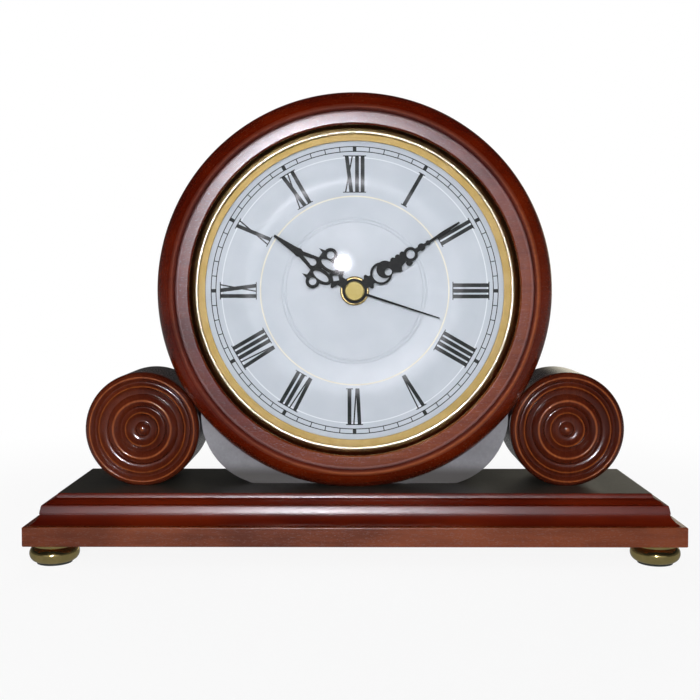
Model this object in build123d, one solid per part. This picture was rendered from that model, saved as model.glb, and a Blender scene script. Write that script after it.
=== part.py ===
from build123d import *
from math import cos, radians, sin, sqrt
import os

# A quartz mantel clock: a round mahogany drum with a glazed dial, flanked by two
# turned scrolls, on a moulded two-board plinth with brass bun feet.
# Millimetres. The origin lies on the table under the middle of the plinth,
# +Z is up, +X is the viewer's right and the dial faces -Y.

# ---------------------------------------------------------------- plinth and feet
PLINTH_WIDTH = 300.0
PLINTH_DEPTH = 90.0
LOWER_BOARD_THICKNESS = 9.1
UPPER_BOARD_THICKNESS = 12.9
BOARD_EDGE_ROUND = 0.6
# Edge moulding of the upper board: insets from the plinth's edge, depths below its top.
TOP_FACE_INSET = 12.3
TOP_FILLET_DEPTH = 2.2
OVOLO_INSET = 8.6
OVOLO_DEPTH = 4.3
LEDGE_INSET = 7.1
LEDGE_DEPTH = 4.5
FASCIA_INSET = 6.0
FASCIA_DEPTH = 8.4
COVE_INSET = 2.2
OVOLO_BULGE = 0.7
COVE_HOLLOW = 0.35

FOOT_RADIUS = 11.3
FOOT_NECK_RADIUS = 9.4
FOOT_NECK_HEIGHT = 1.6
FOOT_BUN_HEIGHT = 7.3
FOOT_END_INSET = 11.4
FOOT_FRONT_INSET = 12.0
PAD_RADIUS = 8.0
PAD_THICKNESS = 0.8
FOOT_SCREW_RECESS_RADIUS = 4.2
FOOT_SCREW_RECESS_DEPTH = 2.8

# ---------------------------------------------------------------- wood screws
SCREW_SHANK_RADIUS = 1.9
SCREW_HEAD_RADIUS = 3.8
SCREW_HEAD_DEPTH = 2.2
SCREW_SLOT_WIDTH = 0.9
SCREW_SLOT_DEPTH = 0.8
CASE_SCREW_LENGTH = 40.0
PLINTH_SCREW_LENGTH = 18.0
FOOT_SCREW_LENGTH = 15.0
SCREW_CLEARANCE = 0.05
CASE_SCREW_Y = 6.0
DRUM_SCREW_X = 20.0
PLINTH_SCREW_END_INSET = 78.0
PLINTH_SCREW_SIDE_INSET = 23.0
SCREW_TIP_SHARE = 0.25

# ---------------------------------------------------------------- drum and front ring
# Widths run inwards from the ring's edge to its bore.
RING_RADIUS = 93.7
RING_BEAD_WIDTH = 8.2
RING_LIP_WIDTH = 1.2
RING_GROOVE_WIDTH = 0.6
RING_BAND_WIDTH = 5.8
RING_BORE_CHAMFER = 0.7
RING_BEAD_DEPTH = 8.4
RING_CREST_RISE = 2.2
RING_GROOVE_DEPTH = 0.6
RING_LIP_FALL = 0.4
RESTING_FLAT = 0.4

RING_OVERHANG = 6.7
DRUM_WALL = 17.0
DRUM_FRONT_Y = -8.4
DRUM_BACK_Y = 30.0

# ---------------------------------------------------------------- cradle and scrolls
CRADLE_CORNER_RADIUS = 34.2
CRADLE_CORNER_HEIGHT = 33.0
CRADLE_SETBACK = 1.0
CASE_BACK_Y = 24.0
GLUE_GAP = 0.1

SCROLL_RADIUS = 27.35
SCROLL_RING_GAP = 0.4
SCROLL_CRADLE_GAP = 0.3
# Rosette turning: radii of its ridges, and how far each point lies behind the rim plane.
ROSETTE_RIM_Y = -15.0
ROSETTE_THICKNESS = 6.5
RIM_CREST_RADIUS = 24.9
RIM_SIDE_DEPTH = 2.4
OUTER_VALLEY_RADIUS = 22.7
OUTER_VALLEY_DEPTH = 1.9
OUTER_RIDGE_RADIUS = 20.6
OUTER_RIDGE_DEPTH = 0.5
MIDDLE_VALLEY_RADIUS = 17.0
MIDDLE_VALLEY_DEPTH = 2.5
BEAD_RADIUS = 13.8
BEAD_DEPTH = 0.1
INNER_VALLEY_RADIUS = 10.6
INNER_VALLEY_DEPTH = 2.6
INNER_RIDGE_RADIUS = 8.0
INNER_RIDGE_DEPTH = 0.7
BUTTON_VALLEY_DEPTH = 2.9
BUTTON_RADIUS = 3.6
BUTTON_TOP_DEPTH = 0.9
# How far each curved stretch bulges forwards, or is hollowed, at its middle.
RIM_OUTER_BULGE = 0.55
RIM_INNER_BULGE = 0.25
OUTER_RIDGE_HOLLOW = 0.35
MIDDLE_COVE_HOLLOW = 0.6
BEAD_BULGE = 0.45
INNER_RIDGE_HOLLOW = 0.35
BUTTON_COVE_HOLLOW = 0.8

# ---------------------------------------------------------------- glazed face
# Thicknesses run forwards from the drum's front: board, dial, gilt ring, glass, bezel lip.
FIT_GAP = 0.1
DIAL_BOARD_THICKNESS = 3.0
DIAL_THICKNESS = 0.6
# The dial is pressed: a flat margin and centre, and a rounded rise to a crest between them.
DIAL_MARGIN_RADIUS = 62.2
DIAL_CREST_RADIUS = 44.2
DIAL_CENTRE_RADIUS = 33.2
DIAL_CREST_RISE = 0.8
DIAL_OUTER_BULGE = 0.2
DIAL_INNER_HOLLOW = 0.12
GOLD_RING_STANDOFF = 4.0
GOLD_RING_THICKNESS = 0.6
GOLD_RING_WIDTH = 6.3
GOLD_RING_SKIRT = 0.7
GOLD_RING_RIM = 1.3
GLASS_THICKNESS = 1.6
GLASS_DOME_HEIGHT = 8.0
BEZEL_WALL = 1.0
BEZEL_SKIRT = 7.5
BEZEL_LIP_DEPTH = 2.3
BEZEL_LIP_WIDTH = 3.1
BEZEL_BEAD_WIDTH = 1.0
BEZEL_BEAD_HEIGHT = 0.6
BEZEL_COVE_DEPTH = 1.6

# ---------------------------------------------------------------- hands
HAND_THICKNESS = 0.4
HOUR_HAND_ANGLE = 304.5
MINUTE_HAND_ANGLE = 56.8
SECOND_HAND_ANGLE = 107.8
HOUR_HAND_Y = -15.6
MINUTE_HAND_Y = -17.2
SECOND_HAND_Y = -18.5
HAND_HUB_RADIUS = 5.8
HAND_NECK_HALF = 2.2
HAND_THORN_SPREAD = 2.0
HAND_THORN_TIP = 0.9
HUB_THICKNESS = 0.8
HOUR_HAND_LENGTH = 45.7
MINUTE_HAND_LENGTH = 58.6
SECOND_HAND_LENGTH = 41.8
SECOND_HAND_WIDTH = 1.3
SECOND_HAND_TIP_WIDTH = 0.6
BOSS_RADIUS = 4.65
BOSS_THICKNESS = 1.3
BOSS_DOME = 0.5
# Openwork of the hour hand, as distances out from the hub and aside from its middle line.
HOUR_DIAMOND_OUT = 10.6
HOUR_DIAMOND_SIZE = 7.6
HOUR_DIAMOND_HOLE = 3.7
HOUR_THORN_OUT = 9.8
HOUR_THORN_ASIDE = 5.0
HOUR_LOBE_OUT = 16.8
HOUR_LOBE_ASIDE = 3.25
HOUR_LOBE_LENGTH = 5.6
HOUR_LOBE_HEIGHT = 3.2
HOUR_LOBE_WALL = 1.5
HOUR_CURL_OUT = 18.7
HOUR_CURL_ASIDE = 7.4
HOUR_CURL_RADIUS = 3.3
HOUR_CURL_HOLE = 1.75
HOUR_SPUR_OUT = 25.0
HOUR_SPUR_BASE = 21.4
HOUR_SPUR_ASIDE = 7.1
HOUR_SPUR_HALF = 0.85
HOUR_SPUR_ROOT = 1.2
HOUR_LANCE_START = 18.6
HOUR_LANCE_ROOT = 22.7
HOUR_LANCE_ROOT_HALF = 3.5
HOUR_TEAR_OUT = 23.6
HOUR_TEAR_RADIUS = 1.6
HOUR_TEAR_TIP = 29.0
HOUR_SHOULDER_OUT = 31.6
HOUR_SHOULDER_HALF = 2.1
HOUR_BLADE_OUT = 33.6
HOUR_WAIST_OUT = 30.3
HOUR_WAIST_HALF = 1.6
HOUR_POINT_HALF = 0.55
# Openwork of the minute hand.
MINUTE_THORN_OUT = 7.9
MINUTE_THORN_ASIDE = 3.6
MINUTE_LOOP_OUT = 14.8
MINUTE_LOOP_RADIUS = 5.2
MINUTE_LOOP_HOLE = 4.1
MINUTE_LEAF_OUT = 17.4
MINUTE_LEAF_ASIDE = 0.6
MINUTE_LEAF_RADIUS = 4.1
MINUTE_EYE_OUT = 18.0
MINUTE_EYE_ASIDE = 1.2
MINUTE_EYE_RADIUS = 1.65
MINUTE_FOLIAGE_END = 28.6
MINUTE_FOLIAGE_HALF = 2.6
MINUTE_FOLIAGE_START = 20.0
MINUTE_SPUR_OUT = 22.8
MINUTE_SPUR_ASIDE = 4.4
MINUTE_SPUR_WIDTH = 1.0
MINUTE_SPUR_SLOPE = 0.8
MINUTE_RING_OUT = 31.2
MINUTE_RING_RADIUS = 3.4
MINUTE_RING_HOLE = 2.0
MINUTE_RING_WALL = 0.5
MINUTE_BLOB_OUT = 28.6
MINUTE_BLOB_ASIDE = 3.0
MINUTE_BLOB_RADIUS = 1.6
MINUTE_BEAD_OUT = 37.3
MINUTE_BEAD_RADIUS = 1.8
MINUTE_BEADLET_OUT = 41.0
MINUTE_BEADLET_RADIUS = 1.2
MINUTE_LANCE_HALF = 0.6
MINUTE_LANCE_BELLY_OUT = 50.0
MINUTE_LANCE_BELLY_HALF = 0.85
MINUTE_POINT_HALF = 0.4

NUT_RADIUS = 6.8
NUT_THICKNESS = 1.8
WASHER_RADIUS = 6.3
WASHER_THICKNESS = 0.4

# ---------------------------------------------------------------- rear door
DOOR_SHELF = 2.0
DOOR_THICKNESS = 4.0
DOOR_GAP = 0.5
DOOR_SEAT_GAP = 0.2
HINGE_LEAF_LENGTH = 18.0
HINGE_LEAF_WIDTH = 10.0
HINGE_LEAF_THICKNESS = 0.8
HINGE_PIN_RADIUS = 0.8
HINGE_PIN_CLEARANCE = 0.05
HINGE_KNUCKLE_RADIUS = 1.7
HINGE_KNUCKLE_GAP = 0.3
HINGE_KNUCKLE_LIFT = 0.1
HINGE_SCREW_RADIUS = 0.9
HINGE_SCREW_HEAD_RADIUS = 1.7
HINGE_SCREW_HEAD_DEPTH = 0.6
HINGE_SCREW_LENGTH = 3.4
HINGE_SCREW_SPACING = 10.0
DOOR_KNOB_INSET = 12.0
DOOR_KNOB_RADIUS = 5.0
DOOR_KNOB_LENGTH = 8.0
DOOR_KNOB_NECK_RADIUS = 2.4
MAGNET_RADIUS = 2.5
MAGNET_LENGTH = 3.0
STRIKE_THICKNESS = 1.0
MAGNET_SEAT_WIDTH = 6.6
MAGNET_SEAT_FLOOR = 1.0
MAGNET_SEAT_ROOT = 1.0

# ---------------------------------------------------------------- quartz movement
MOVEMENT_DEPTH = 16.0
MOVEMENT_WALL = 1.2
MOVEMENT_FRONT_DEPTH = 9.0
POST_RADIUS = 3.95
POST_CLEARANCE = 0.1
POST_STANDOUT = 0.5
RUNNING_CLEARANCE = 0.05
PRESS_GAP = 0.02
PIPE_WALL = 0.7
CANNON_WALL = 0.7
SECOND_ARBOR_RADIUS = 0.5
ARBOR_RADIUS = 0.5
PIVOT_RADIUS = 0.35
BAY_HEIGHT = 15.7
BAY_WALL = 0.8
PLATE_BOSS_RADIUS = 1.8
PLATE_BOSS_INSET = 4.2
MIDDLE_PLATE_THICKNESS = 0.5
MIDDLE_PLATE_EDGE_GAP = 0.3

WHEEL_THICKNESS = 0.6
PINION_LENGTH = 1.0
LAYER_PITCH = 1.5
FIRST_LAYER_GAP = 0.7
PLATE_LAYER_PITCH = 1.0
LAYER_GAP = 0.5

# Tooth numbers, modules and the bearing of each arbor from the one before it.
CANNON_TEETH = 12
MOTION_WHEEL_TEETH = 36
MOTION_PINION_TEETH = 10
HOUR_WHEEL_TEETH = 40
CANNON_MODULE = 0.5
MOTION_BEARING = 188.0
CENTRE_WHEEL_TEETH = 64
THIRD_PINION_TEETH = 8
CENTRE_MODULE = 0.34
THIRD_WHEEL_TEETH = 60
SECOND_PINION_TEETH = 8
THIRD_BEARING = 100.0
SECOND_WHEEL_TEETH = 50
INTERMEDIATE_PINION_TEETH = 10
SECOND_MODULE = 0.32
INTERMEDIATE_BEARING = 30.0
INTERMEDIATE_WHEEL_TEETH = 60
ROTOR_PINION_TEETH = 10
ROTOR_MODULE = 0.26
ROTOR_BEARING = 60.0
TOOTH_ADDENDUM = 0.75
TOOTH_DEDENDUM = 1.15
TOOTH_ROOT_SHARE = 0.50
TOOTH_TIP_SHARE = 0.16

ROTOR_MAGNET_RADIUS = 3.0
ROTOR_MAGNET_LENGTH = 2.4
ROTOR_AIR_GAP = 0.5
STATOR_THICKNESS = 0.8
STATOR_WIDTH = 22.0
STATOR_HEIGHT = 9.0
STATOR_LEG_WIDTH = 3.5
STATOR_TOP_GAP = 2.1
CORE_THICKNESS = 1.0
CORE_WIDTH = 3.6
BOBBIN_RADIUS = 3.3
BOBBIN_BARREL_RADIUS = 2.3
BOBBIN_FLANGE = 0.8
BOBBIN_END_GAP = 0.3
WINDING_RADIUS = 3.1

BOARD_WHEEL_GAP = 1.9
BOARD_HEIGHT = 33.0
BOARD_THICKNESS = 0.8
BOARD_BOTTOM = -8.0
CHIP_RADIUS = 2.4
CHIP_THICKNESS = 0.9
CRYSTAL_RADIUS = 1.0
CRYSTAL_LENGTH = 6.0
CRYSTAL_RISE = 20.0

BATTERY_RADIUS = 7.1
BATTERY_LENGTH = 49.2
BATTERY_NUB_RADIUS = 2.6
BATTERY_NUB_LENGTH = 1.3
BATTERY_GAP = 0.2
CONTACT_ROOM = 1.55
CONTACT_THICKNESS = 0.4
CONTACT_WIDTH = 8.0
SET_KNOB_RADIUS = 6.0
SET_KNOB_LENGTH = 3.4
SET_KNOB_GAP = 0.4
SET_KNOB_FLUTES = 16
SET_KNOB_FLUTE_RADIUS = 0.7

# ---------------------------------------------------------------- derived places
FOOT_HEIGHT = PAD_THICKNESS + FOOT_BUN_HEIGHT + FOOT_NECK_HEIGHT
PLINTH_TOP_Z = FOOT_HEIGHT + LOWER_BOARD_THICKNESS + UPPER_BOARD_THICKNESS
BOARD_JOINT_Z = FOOT_HEIGHT + LOWER_BOARD_THICKNESS
DRUM_Z = PLINTH_TOP_Z + RING_RADIUS - RESTING_FLAT
SCROLL_Z = PLINTH_TOP_Z + SCROLL_RADIUS - RESTING_FLAT
SCROLL_X = sqrt((RING_RADIUS + SCROLL_RADIUS + SCROLL_RING_GAP) ** 2 - (DRUM_Z - SCROLL_Z) ** 2)
SCROLL_JOINT_Y = ROSETTE_RIM_Y + ROSETTE_THICKNESS
FOOT_X = PLINTH_WIDTH / 2 - FOOT_END_INSET
FOOT_Y = PLINTH_DEPTH / 2 - FOOT_FRONT_INSET
PLINTH_SCREW_X = PLINTH_WIDTH / 2 - PLINTH_SCREW_END_INSET
PLINTH_SCREW_Y = PLINTH_DEPTH / 2 - PLINTH_SCREW_SIDE_INSET

DRUM_RADIUS = RING_RADIUS - RING_OVERHANG
DRUM_CAVITY_RADIUS = DRUM_RADIUS - DRUM_WALL
DOOR_RADIUS = DRUM_CAVITY_RADIUS + DOOR_SHELF
DOOR_KNOB_X = DOOR_RADIUS - DOOR_KNOB_INSET
RING_CREST_RADIUS = RING_RADIUS - RING_BEAD_WIDTH
RING_STEP_RADIUS = RING_CREST_RADIUS - RING_LIP_WIDTH
RING_FLAT_RADIUS = RING_STEP_RADIUS - RING_GROOVE_WIDTH
RING_BORE_RADIUS = RING_FLAT_RADIUS - RING_BAND_WIDTH

BEZEL_RADIUS = RING_BORE_RADIUS - FIT_GAP
BEZEL_LIP_RADIUS = BEZEL_RADIUS - BEZEL_LIP_WIDTH
BEZEL_COVE_RADIUS = BEZEL_LIP_RADIUS + BEZEL_BEAD_WIDTH
FACE_RADIUS = BEZEL_RADIUS - BEZEL_WALL - FIT_GAP
GOLD_RING_INNER_RADIUS = FACE_RADIUS - GOLD_RING_WIDTH
DIAL_BACK_Y = DRUM_FRONT_Y - DIAL_BOARD_THICKNESS
DIAL_FACE_Y = DIAL_BACK_Y - DIAL_THICKNESS
GOLD_RING_FACE_Y = DIAL_FACE_Y - GOLD_RING_STANDOFF
GLASS_BACK_Y = GOLD_RING_FACE_Y - GOLD_RING_RIM
GLASS_RIM_Y = GLASS_BACK_Y - GLASS_THICKNESS
BEZEL_BACK_Y = GLASS_RIM_Y + BEZEL_SKIRT
BEZEL_CREST_Y = GLASS_RIM_Y - BEZEL_LIP_DEPTH
BEZEL_COVE_FRONT_Y = BEZEL_CREST_Y + BEZEL_BEAD_HEIGHT
BEZEL_COVE_BACK_Y = BEZEL_COVE_FRONT_Y + BEZEL_COVE_DEPTH
RING_FLAT_Y = BEZEL_CREST_Y
RING_CREST_Y = RING_FLAT_Y - RING_CREST_RISE
RING_STEP_Y = RING_FLAT_Y + RING_GROOVE_DEPTH
RING_SIDE_Y = RING_CREST_Y + RING_BEAD_DEPTH

MOVEMENT_FRONT_Y = DRUM_FRONT_Y
MOVEMENT_BACK_Y = MOVEMENT_FRONT_Y + MOVEMENT_DEPTH
MOVEMENT_SPLIT_Y = MOVEMENT_FRONT_Y + MOVEMENT_FRONT_DEPTH
MOVEMENT_SIZE = BATTERY_LENGTH + BATTERY_NUB_LENGTH + 2 * CONTACT_ROOM + 2 * MOVEMENT_WALL
INNER_FRONT_Y = MOVEMENT_FRONT_Y + MOVEMENT_WALL
INNER_BACK_Y = MOVEMENT_BACK_Y - MOVEMENT_WALL
INNER_HALF = MOVEMENT_SIZE / 2 - MOVEMENT_WALL
BAY_TOP = BAY_HEIGHT - MOVEMENT_SIZE / 2

CANNON_BORE = SECOND_ARBOR_RADIUS + RUNNING_CLEARANCE
CANNON_RADIUS = CANNON_BORE + CANNON_WALL
PIPE_BORE = CANNON_RADIUS + RUNNING_CLEARANCE
PIPE_RADIUS = PIPE_BORE + PIPE_WALL
POST_BORE = PIPE_RADIUS + POST_CLEARANCE
NUT_FRONT_Y = DIAL_FACE_Y - WASHER_THICKNESS - NUT_THICKNESS
POST_FRONT_Y = NUT_FRONT_Y - POST_STANDOUT

HOUR_LAYER = INNER_FRONT_Y + FIRST_LAYER_GAP
MOTION_LAYER = HOUR_LAYER + LAYER_PITCH
CENTRE_LAYER = MOTION_LAYER + LAYER_PITCH
PLATE_LAYER = CENTRE_LAYER + PLATE_LAYER_PITCH
THIRD_LAYER = PLATE_LAYER + PLATE_LAYER_PITCH
SECOND_LAYER = THIRD_LAYER + LAYER_PITCH
INTERMEDIATE_LAYER = SECOND_LAYER + LAYER_PITCH
MAGNET_FRONT_Y = INTERMEDIATE_LAYER + PINION_LENGTH / 2 + LAYER_GAP / 2
STATOR_FRONT_Y = MAGNET_FRONT_Y + (ROTOR_MAGNET_LENGTH - STATOR_THICKNESS) / 2
PLATE_FRONT_Y = PLATE_LAYER - MIDDLE_PLATE_THICKNESS / 2
PLATE_BACK_Y = PLATE_LAYER + MIDDLE_PLATE_THICKNESS / 2

MOTION_DISTANCE = CANNON_MODULE * (CANNON_TEETH + MOTION_WHEEL_TEETH) / 2
HOUR_MODULE = 2 * MOTION_DISTANCE / (MOTION_PINION_TEETH + HOUR_WHEEL_TEETH)
THIRD_DISTANCE = CENTRE_MODULE * (CENTRE_WHEEL_TEETH + THIRD_PINION_TEETH) / 2
THIRD_MODULE = 2 * THIRD_DISTANCE / (THIRD_WHEEL_TEETH + SECOND_PINION_TEETH)
INTERMEDIATE_DISTANCE = SECOND_MODULE * (SECOND_WHEEL_TEETH + INTERMEDIATE_PINION_TEETH) / 2
ROTOR_DISTANCE = ROTOR_MODULE * (INTERMEDIATE_WHEEL_TEETH + ROTOR_PINION_TEETH) / 2


def polar(distance, bearing, start=(0.0, 0.0)):
    """The point at a distance and bearing from a start, in the plane of the dial."""
    angle = radians(bearing)
    return (start[0] + distance * cos(angle), start[1] + distance * sin(angle))


HAND_AXIS = (0.0, 0.0)
MOTION_AT = polar(MOTION_DISTANCE, MOTION_BEARING)
THIRD_AT = polar(THIRD_DISTANCE, THIRD_BEARING)
INTERMEDIATE_AT = polar(INTERMEDIATE_DISTANCE, INTERMEDIATE_BEARING)
ROTOR_AT = polar(ROTOR_DISTANCE, ROTOR_BEARING, INTERMEDIATE_AT)


# ---------------------------------------------------------------- shape helpers
def block(x0, x1, y0, y1, z0, z1):
    """A box between two corners."""
    middle = Pos((x0 + x1) / 2, (y0 + y1) / 2, (z0 + z1) / 2)
    return middle * Box(abs(x1 - x0), abs(y1 - y0), abs(z1 - z0))


def rod(radius, y0, y1, at=HAND_AXIS, z=None):
    """A round bar parallel to Y; at is measured from the drum's axis unless z is given."""
    height = DRUM_Z + at[1] if z is None else z
    middle = Pos(at[0], (y0 + y1) / 2, height)
    return middle * Rot(90, 0, 0) * Cylinder(radius, abs(y1 - y0))


def tube(outer, inner, y0, y1, at=HAND_AXIS):
    """A round bar parallel to Y with a bore."""
    return rod(outer, y0, y1, at) - rod(inner, y0, y1, at)


def post(radius, z0, z1, x, y):
    """An upright round bar."""
    return Pos(x, y, (z0 + z1) / 2) * Cylinder(radius, z1 - z0)


def turned(lines, x=0.0, z=DRUM_Z):
    """A turning about a line parallel to Y, from an outline in radius and depth."""
    return Pos(x, 0, z) * revolve(make_face(lines), Axis.Y, 360)


def cap_middle(edge, peak_y):
    """A point half-way out on the spherical cap from an edge point to a peak on the axis."""
    rise = edge[1] - peak_y
    sphere = (edge[0] ** 2 + rise ** 2) / (2 * abs(rise))
    drop = sphere - sqrt(sphere ** 2 - (edge[0] / 2) ** 2)
    return (edge[0] / 2, peak_y + drop * rise / abs(rise))


def flat_piece(sketch, back_y, thickness, at=HAND_AXIS):
    """A flat piece parallel to the dial, from its back towards the front."""
    plane = Plane.XZ.offset(-back_y)
    return Pos(at[0], 0, DRUM_Z + at[1]) * extrude(plane * sketch, thickness)


def wood_screw(length, x, y, z):
    """A slotted countersunk screw pointing up, with its head flush at a height."""
    head = Pos(x, y, z) * Cone(SCREW_HEAD_RADIUS, SCREW_SHANK_RADIUS, SCREW_HEAD_DEPTH,
                               align=(Align.CENTER, Align.CENTER, Align.MIN))
    point_length = 2 * SCREW_SHANK_RADIUS
    shank = post(SCREW_SHANK_RADIUS, z + SCREW_HEAD_DEPTH, z + length - point_length, x, y)
    point = Pos(x, y, z + length - point_length) * Cone(
        SCREW_SHANK_RADIUS, SCREW_SHANK_RADIUS * SCREW_TIP_SHARE, point_length,
        align=(Align.CENTER, Align.CENTER, Align.MIN))
    slot = block(x - SCREW_HEAD_RADIUS, x + SCREW_HEAD_RADIUS,
                 y - SCREW_SLOT_WIDTH / 2, y + SCREW_SLOT_WIDTH / 2, z, z + SCREW_SLOT_DEPTH)
    return head + shank + point - slot


def screw_hole(length, x, y, z):
    """The countersunk hole that a wood screw fills, with a little clearance."""
    gap = SCREW_CLEARANCE
    head = Pos(x, y, z) * Cone(SCREW_HEAD_RADIUS + gap, SCREW_SHANK_RADIUS + gap,
                               SCREW_HEAD_DEPTH, align=(Align.CENTER, Align.CENTER, Align.MIN))
    return head + post(SCREW_SHANK_RADIUS + gap, z, z + length + gap, x, y)


# ---------------------------------------------------------------- plinth and feet
CASE_SCREW_SPOTS = [(x, CASE_SCREW_Y) for x in (-SCROLL_X, -DRUM_SCREW_X, DRUM_SCREW_X, SCROLL_X)]
PLINTH_SCREW_SPOTS = [(x, y) for x in (-PLINTH_SCREW_X, PLINTH_SCREW_X)
                      for y in (-PLINTH_SCREW_Y, PLINTH_SCREW_Y)]
FOOT_SPOTS = {
    "front_left": (-FOOT_X, -FOOT_Y),
    "front_right": (FOOT_X, -FOOT_Y),
    "rear_left": (-FOOT_X, FOOT_Y),
    "rear_right": (FOOT_X, FOOT_Y),
}
FOOT_SCREW_Z = PAD_THICKNESS + FOOT_SCREW_RECESS_DEPTH


def base_screws():
    """The three sets of screws that come up from below the plinth."""
    case = [wood_screw(CASE_SCREW_LENGTH, x, y, FOOT_HEIGHT) for x, y in CASE_SCREW_SPOTS]
    plinth = [wood_screw(PLINTH_SCREW_LENGTH, x, y, FOOT_HEIGHT) for x, y in PLINTH_SCREW_SPOTS]
    feet = [wood_screw(FOOT_SCREW_LENGTH, x, y, FOOT_SCREW_Z) for x, y in FOOT_SPOTS.values()]
    return {"case_screws": case, "plinth_screws": plinth, "foot_screws": feet}


def drill_base(solid):
    """Cuts the holes of every screw that comes up through the plinth."""
    for x, y in CASE_SCREW_SPOTS:
        solid -= screw_hole(CASE_SCREW_LENGTH, x, y, FOOT_HEIGHT)
    for x, y in PLINTH_SCREW_SPOTS:
        solid -= screw_hole(PLINTH_SCREW_LENGTH, x, y, FOOT_HEIGHT)
    for x, y in FOOT_SPOTS.values():
        solid -= screw_hole(FOOT_SCREW_LENGTH, x, y, FOOT_SCREW_Z)
    return solid


def pulled(start, end, corner, share):
    """The middle of a chord, moved a share of the way towards a corner."""
    return tuple((a + b) / 2 * (1 - share) + c * share for a, b, c in zip(start, end, corner))


def moulding_section(width):
    """The upper board's cross-section for a plinth of the given width."""
    half = width / 2
    top = PLINTH_TOP_Z

    def side(sign):
        def at(inset, depth):
            return (sign * (half - inset), top - depth)

        corner = at(OVOLO_INSET, TOP_FILLET_DEPTH)
        ovolo_start = at(TOP_FACE_INSET, TOP_FILLET_DEPTH)
        ovolo_end = at(OVOLO_INSET, OVOLO_DEPTH)
        cove_start = at(FASCIA_INSET, FASCIA_DEPTH)
        cove_end = at(COVE_INSET, UPPER_BOARD_THICKNESS)
        cove_corner = (cove_start[0], cove_end[1])
        ovolo_middle = pulled(ovolo_start, ovolo_end, corner, OVOLO_BULGE)
        cove_middle = pulled(cove_start, cove_end, cove_corner, COVE_HOLLOW)
        lines = Line(at(TOP_FACE_INSET, 0), ovolo_start)
        lines += ThreePointArc(ovolo_start, ovolo_middle, ovolo_end)
        lines += Polyline(ovolo_end, at(LEDGE_INSET, LEDGE_DEPTH), cove_start)
        lines += ThreePointArc(cove_start, cove_middle, cove_end)
        return lines

    lines = side(-1) + side(1)
    lines += Line((TOP_FACE_INSET - half, top), (half - TOP_FACE_INSET, top))
    bottom = top - UPPER_BOARD_THICKNESS
    lines += Line((COVE_INSET - half, bottom), (half - COVE_INSET, bottom))
    return make_face(lines)


def plinth_boards():
    """The square-edged lower board and the mitred, moulded upper board."""
    lower = block(-PLINTH_WIDTH / 2, PLINTH_WIDTH / 2, -PLINTH_DEPTH / 2, PLINTH_DEPTH / 2,
                  FOOT_HEIGHT, BOARD_JOINT_Z)
    lower = fillet(lower.edges().group_by(Axis.Z)[-1] + lower.edges().group_by(Axis.Z)[0],
                   BOARD_EDGE_ROUND)
    across = extrude(Plane.XZ * moulding_section(PLINTH_WIDTH), PLINTH_DEPTH / 2, both=True)
    along = extrude(Plane.YZ * moulding_section(PLINTH_DEPTH), PLINTH_WIDTH / 2, both=True)
    upper = across & along
    return {"plinth_lower_board": drill_base(lower), "plinth_upper_board": drill_base(upper)}


def foot(x, y):
    """A turned brass bun foot with a recess for its screw."""
    bottom = PAD_THICKNESS
    shoulder = bottom + FOOT_BUN_HEIGHT
    belly = bottom + FOOT_BUN_HEIGHT / 2
    lines = Line((0, bottom), (PAD_RADIUS, bottom))
    lines += ThreePointArc((PAD_RADIUS, bottom), (FOOT_RADIUS, belly), (FOOT_NECK_RADIUS, shoulder))
    lines += Polyline((FOOT_NECK_RADIUS, shoulder), (FOOT_NECK_RADIUS, FOOT_HEIGHT),
                      (0, FOOT_HEIGHT), (0, bottom))
    bun = revolve(Plane.XZ * make_face(lines), Axis.Z, 360)
    recess = post(FOOT_SCREW_RECESS_RADIUS, bottom, FOOT_SCREW_Z, x, y)
    return Pos(x, y, 0) * bun - recess - screw_hole(FOOT_SCREW_LENGTH, x, y, FOOT_SCREW_Z)


def feet():
    """Four feet, and the felt pads under them."""
    pieces = {"foot_" + name: foot(x, y) for name, (x, y) in FOOT_SPOTS.items()}
    pieces["foot_pads"] = [post(PAD_RADIUS, 0, PAD_THICKNESS, x, y) for x, y in FOOT_SPOTS.values()]
    return pieces


# ---------------------------------------------------------------- drum, ring, cradle, scrolls
def above_plinth(solid):
    """The part of a solid that stands on the plinth's top face."""
    return solid & block(-PLINTH_WIDTH, PLINTH_WIDTH, -PLINTH_DEPTH, PLINTH_DEPTH,
                         PLINTH_TOP_Z, PLINTH_TOP_Z + 3 * RING_RADIUS)


def front_ring():
    """The turned ring round the dial: a bold bead, a step and a flat band."""
    bead_width = RING_RADIUS - RING_CREST_RADIUS
    bead_rise = RING_SIDE_Y - RING_CREST_Y
    bead_middle = (RING_CREST_RADIUS + bead_width * cos(radians(45)),
                   RING_SIDE_Y - bead_rise * sin(radians(45)))
    crest = (RING_CREST_RADIUS, RING_CREST_Y)
    step = (RING_STEP_RADIUS, RING_STEP_Y)
    lip_middle = pulled(crest, step, (step[0], crest[1]), RING_LIP_FALL)
    lines = Line((RING_RADIUS, DRUM_FRONT_Y), (RING_RADIUS, RING_SIDE_Y))
    lines += ThreePointArc((RING_RADIUS, RING_SIDE_Y), bead_middle, crest)
    lines += ThreePointArc(crest, lip_middle, step)
    lines += Polyline(
        step, (RING_FLAT_RADIUS, RING_STEP_Y), (RING_FLAT_RADIUS, RING_FLAT_Y),
        (RING_BORE_RADIUS + RING_BORE_CHAMFER, RING_FLAT_Y),
        (RING_BORE_RADIUS, RING_FLAT_Y + RING_BORE_CHAMFER),
        (RING_BORE_RADIUS, DRUM_FRONT_Y), (RING_RADIUS, DRUM_FRONT_Y))
    return above_plinth(turned(lines))


def magnet_spot():
    """Where the door magnet sits, opposite the hinge, in the drum's rebate."""
    return (DOOR_RADIUS - MAGNET_SEAT_WIDTH / 2, 0.0)


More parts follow.
